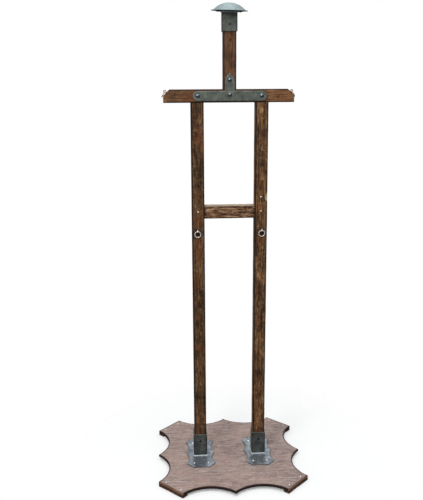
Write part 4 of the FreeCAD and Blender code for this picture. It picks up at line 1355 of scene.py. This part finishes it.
def build_rings(materials):
    """The four tie rings. Each hangs in the plane of its CAD ring and rides on its own body."""
    for name, side in SIDES.items():
        low, high = span(f"post_ring_{name}")
        wire = (high[1] - low[1]) / 2
        radius = (high[0] - low[0]) / 2 - wire
        sweep_ring(f"post_ring_{name}_wire", f"post_ring_{name}", f"post_ring_{name}", (low + high) / 2,
                   radius, wire, -Z, X * side, materials["bright_wire"])
        low, high = span(f"shoulder_ring_{name}")
        joint = next(j for j in frame["joints"] if j["child"] == f"shoulder_ring_{name}")
        pivot = np.array(joint["pos_m"])
        middle = (low + high) / 2
        hang = (middle - pivot) / np.linalg.norm(middle - pivot)
        sweep_ring(f"shoulder_ring_{name}_wire", f"shoulder_ring_{name}", f"shoulder_ring_{name}", middle,
                   radius, wire, hang, Y * side, materials["brassy_wire"])


# ---- fasteners that keep their CAD shape ---------------------------------------------------------

# Each fastener node's material and its slot in the record
FASTENERS = {
    "corner_screws": ("zinc_steel", "zinc_steel"),
    "socket_plate_screws_left": ("zinc_steel", "zinc_steel"),
    "socket_plate_screws_right": ("zinc_steel", "zinc_steel"),
    "socket_tube_screws_left": ("black_screw", "screw_steel"),
    "socket_tube_screws_right": ("black_screw", "screw_steel"),
    "cap_screws": ("old_screw", "screw_steel"),
    "rung_screws": ("screw_steel", "screw_steel"),
    "spare_post_screw": ("screw_steel", "screw_steel"),
    "strap_bolts": ("bolt_steel", "bolt_steel"),
    "strap_washers": ("zinc_steel", "zinc_steel"),
    "strap_nuts": ("zinc_steel", "zinc_steel"),
    "post_eye_left": ("bright_wire", "bright_wire"),
    "post_eye_right": ("bright_wire", "bright_wire"),
    "shoulder_eye_left": ("brassy_wire", "bright_wire"),
    "shoulder_eye_right": ("brassy_wire", "bright_wire"),
}


def finish_fasteners(materials):
    """Give the small fasteners their metals, with softened edges."""
    for node, (material, slot) in FASTENERS.items():
        obj = frame["nodes"][node]
        obj.data.materials.clear()
        obj.data.materials.append(materials[material])
        obj.data.shade_smooth()
        obj.data.set_sharp_from_angle(angle=math.radians(35))


# ---- stage ---------------------------------------------------------------------------------------

FLOOR_BOUNCE = 0.18  # how much light the floor throws back up
SENSOR = 36.0  # millimetres, as is the lens
LENS = 50.26752
CAMERA_AT = (-0.25267, -2.70768, 1.58338)
CAMERA_TURN = (13.77, 3.84, -0.32)  # degrees of looking down, of yaw from straight ahead, and of roll
SKY = [(0.0, 0.16), (0.4, 0.42), (1.0, 0.80)]  # brightness at a height, from the horizon to straight up


def build_floor():
    """A pale floor that fades into the white surround. It is darker to everything but the camera."""
    size = 30.0
    mesh = bpy.data.meshes.new("floor")
    corners = [(-size, -size, 0), (size, -size, 0), (size, size, 0), (-size, size, 0)]
    mesh.from_pydata(corners, [], [(0, 1, 2, 3)])
    g = Graph(bpy.data.materials.new("floor_paper"))
    seen = g.node("ShaderNodeLightPath").outputs["Is Camera Ray"]
    away = g.node("ShaderNodeVectorMath", {0: g.place()}, operation="LENGTH").outputs["Value"]
    tone = g.mix(seen, (FLOOR_BOUNCE,) * 3 + (1,), (0.93, 0.93, 0.93, 1))
    paper = g.node("ShaderNodeBsdfDiffuse", {"Color": tone}).outputs[0]
    clear = g.node("ShaderNodeBsdfTransparent").outputs[0]
    fade = g.math("MULTIPLY", g.span(away, 0.34, 0.9, 0.3, 1.0), seen)
    mixed = g.node("ShaderNodeMixShader", {0: fade, 1: paper, 2: clear}).outputs[0]
    g.node("ShaderNodeOutputMaterial", {"Surface": mixed})
    mesh.materials.append(g.owner)
    floor = bpy.data.objects.new("floor", mesh)
    bpy.context.scene.collection.objects.link(floor)


def build_world():
    """White surround for the camera. What lights the object is bright overhead and dim round the sides."""
    world = bpy.data.worlds.new("studio")
    bpy.context.scene.world = world
    g = Graph(world)
    place = g.node("ShaderNodeTexCoord").outputs["Generated"]
    up = g.node("ShaderNodeSeparateXYZ", {0: place}).outputs["Z"]
    sky = g.ramp(up, *[(height, (level * 0.97, level * 0.99, level, 1)) for height, level in SKY])
    light = g.node("ShaderNodeBackground", {"Color": sky}).outputs[0]
    white = g.node("ShaderNodeBackground", {"Color": (1, 1, 1, 1)}).outputs[0]
    seen = g.node("ShaderNodeLightPath").outputs["Is Camera Ray"]
    mixed = g.node("ShaderNodeMixShader", {0: seen, 1: light, 2: white}).outputs[0]
    g.node("ShaderNodeOutputWorld", {"Surface": mixed})


def area_light(name, position, target, size, power, colour):
    """Square softbox that faces a target."""
    data = bpy.data.lights.new(name, "AREA")
    data.size = size
    data.energy = power
    data.color = colour
    light = bpy.data.objects.new(name, data)
    light.location = position
    light.rotation_euler = (Vector(target) - Vector(position)).to_track_quat("-Z", "Y").to_euler()
    bpy.context.scene.collection.objects.link(light)


def build_lights():
    """Softboxes: a broad one overhead and a smaller key from the upper left of the front."""
    area_light("overhead", (0.2, -0.2, 4.2), (0, 0, 0), 3.2, 75, (0.97, 0.99, 1.0))
    area_light("key", (-1.6, -2.6, 3.4), (0, 0, 1.2), 1.2, 55, (1.0, 0.98, 0.95))


def build_camera():
    """Camera a little left of the front, looking slightly down."""
    data = bpy.data.cameras.new("camera")
    data.sensor_width = SENSOR
    data.lens = LENS
    pitch, yaw, roll = (math.radians(angle) for angle in CAMERA_TURN)
    level = np.array([math.sin(yaw), math.cos(yaw), 0])
    right = np.array([math.cos(yaw), -math.sin(yaw), 0])
    ahead = level * math.cos(pitch) - Z * math.sin(pitch)
    up = Z * math.cos(pitch) + level * math.sin(pitch)
    rolled_right = right * math.cos(roll) + up * math.sin(roll)
    rolled_up = -right * math.sin(roll) + up * math.cos(roll)
    camera = bpy.data.objects.new("camera", data)
    turn = Matrix([rolled_right, rolled_up, -ahead]).transposed().to_4x4()
    camera.matrix_world = Matrix.Translation(CAMERA_AT) @ turn
    bpy.context.scene.collection.objects.link(camera)
    bpy.context.scene.camera = camera


def main():
    """Everything, in the order in which it is built."""
    materials = make_materials()
    build_board(materials)
    build_strips(materials)
    build_posts(materials)
    build_rung(materials)
    build_bar(materials)
    build_neck(materials)
    build_plates(materials)
    build_straps(materials)
    build_cap_plate(materials)
    for name in SIDES:
        build_tube(f"socket_tube_{name}_worn", f"socket_tube_{name}", 1, materials["dark_iron"])
        build_weld(f"socket_weld_{name}_bead", f"socket_weld_{name}", f"socket_tube_{name}", -1, materials)
    build_tube("cap_sleeve_worn", "cap_sleeve", -1, materials["lit_strap_iron"])
    reshape(build_weld("cap_weld_bead", "cap_weld", "cap_sleeve", 1, materials), lean)
    build_brim(materials)
    build_dome(materials)
    build_dome_weld(materials)
    build_rivets(materials)
    build_rings(materials)
    finish_fasteners(materials)
    build_floor()
    build_world()
    build_lights()
    build_camera()
    bpy.context.scene.view_settings.view_transform = "Standard"


main()
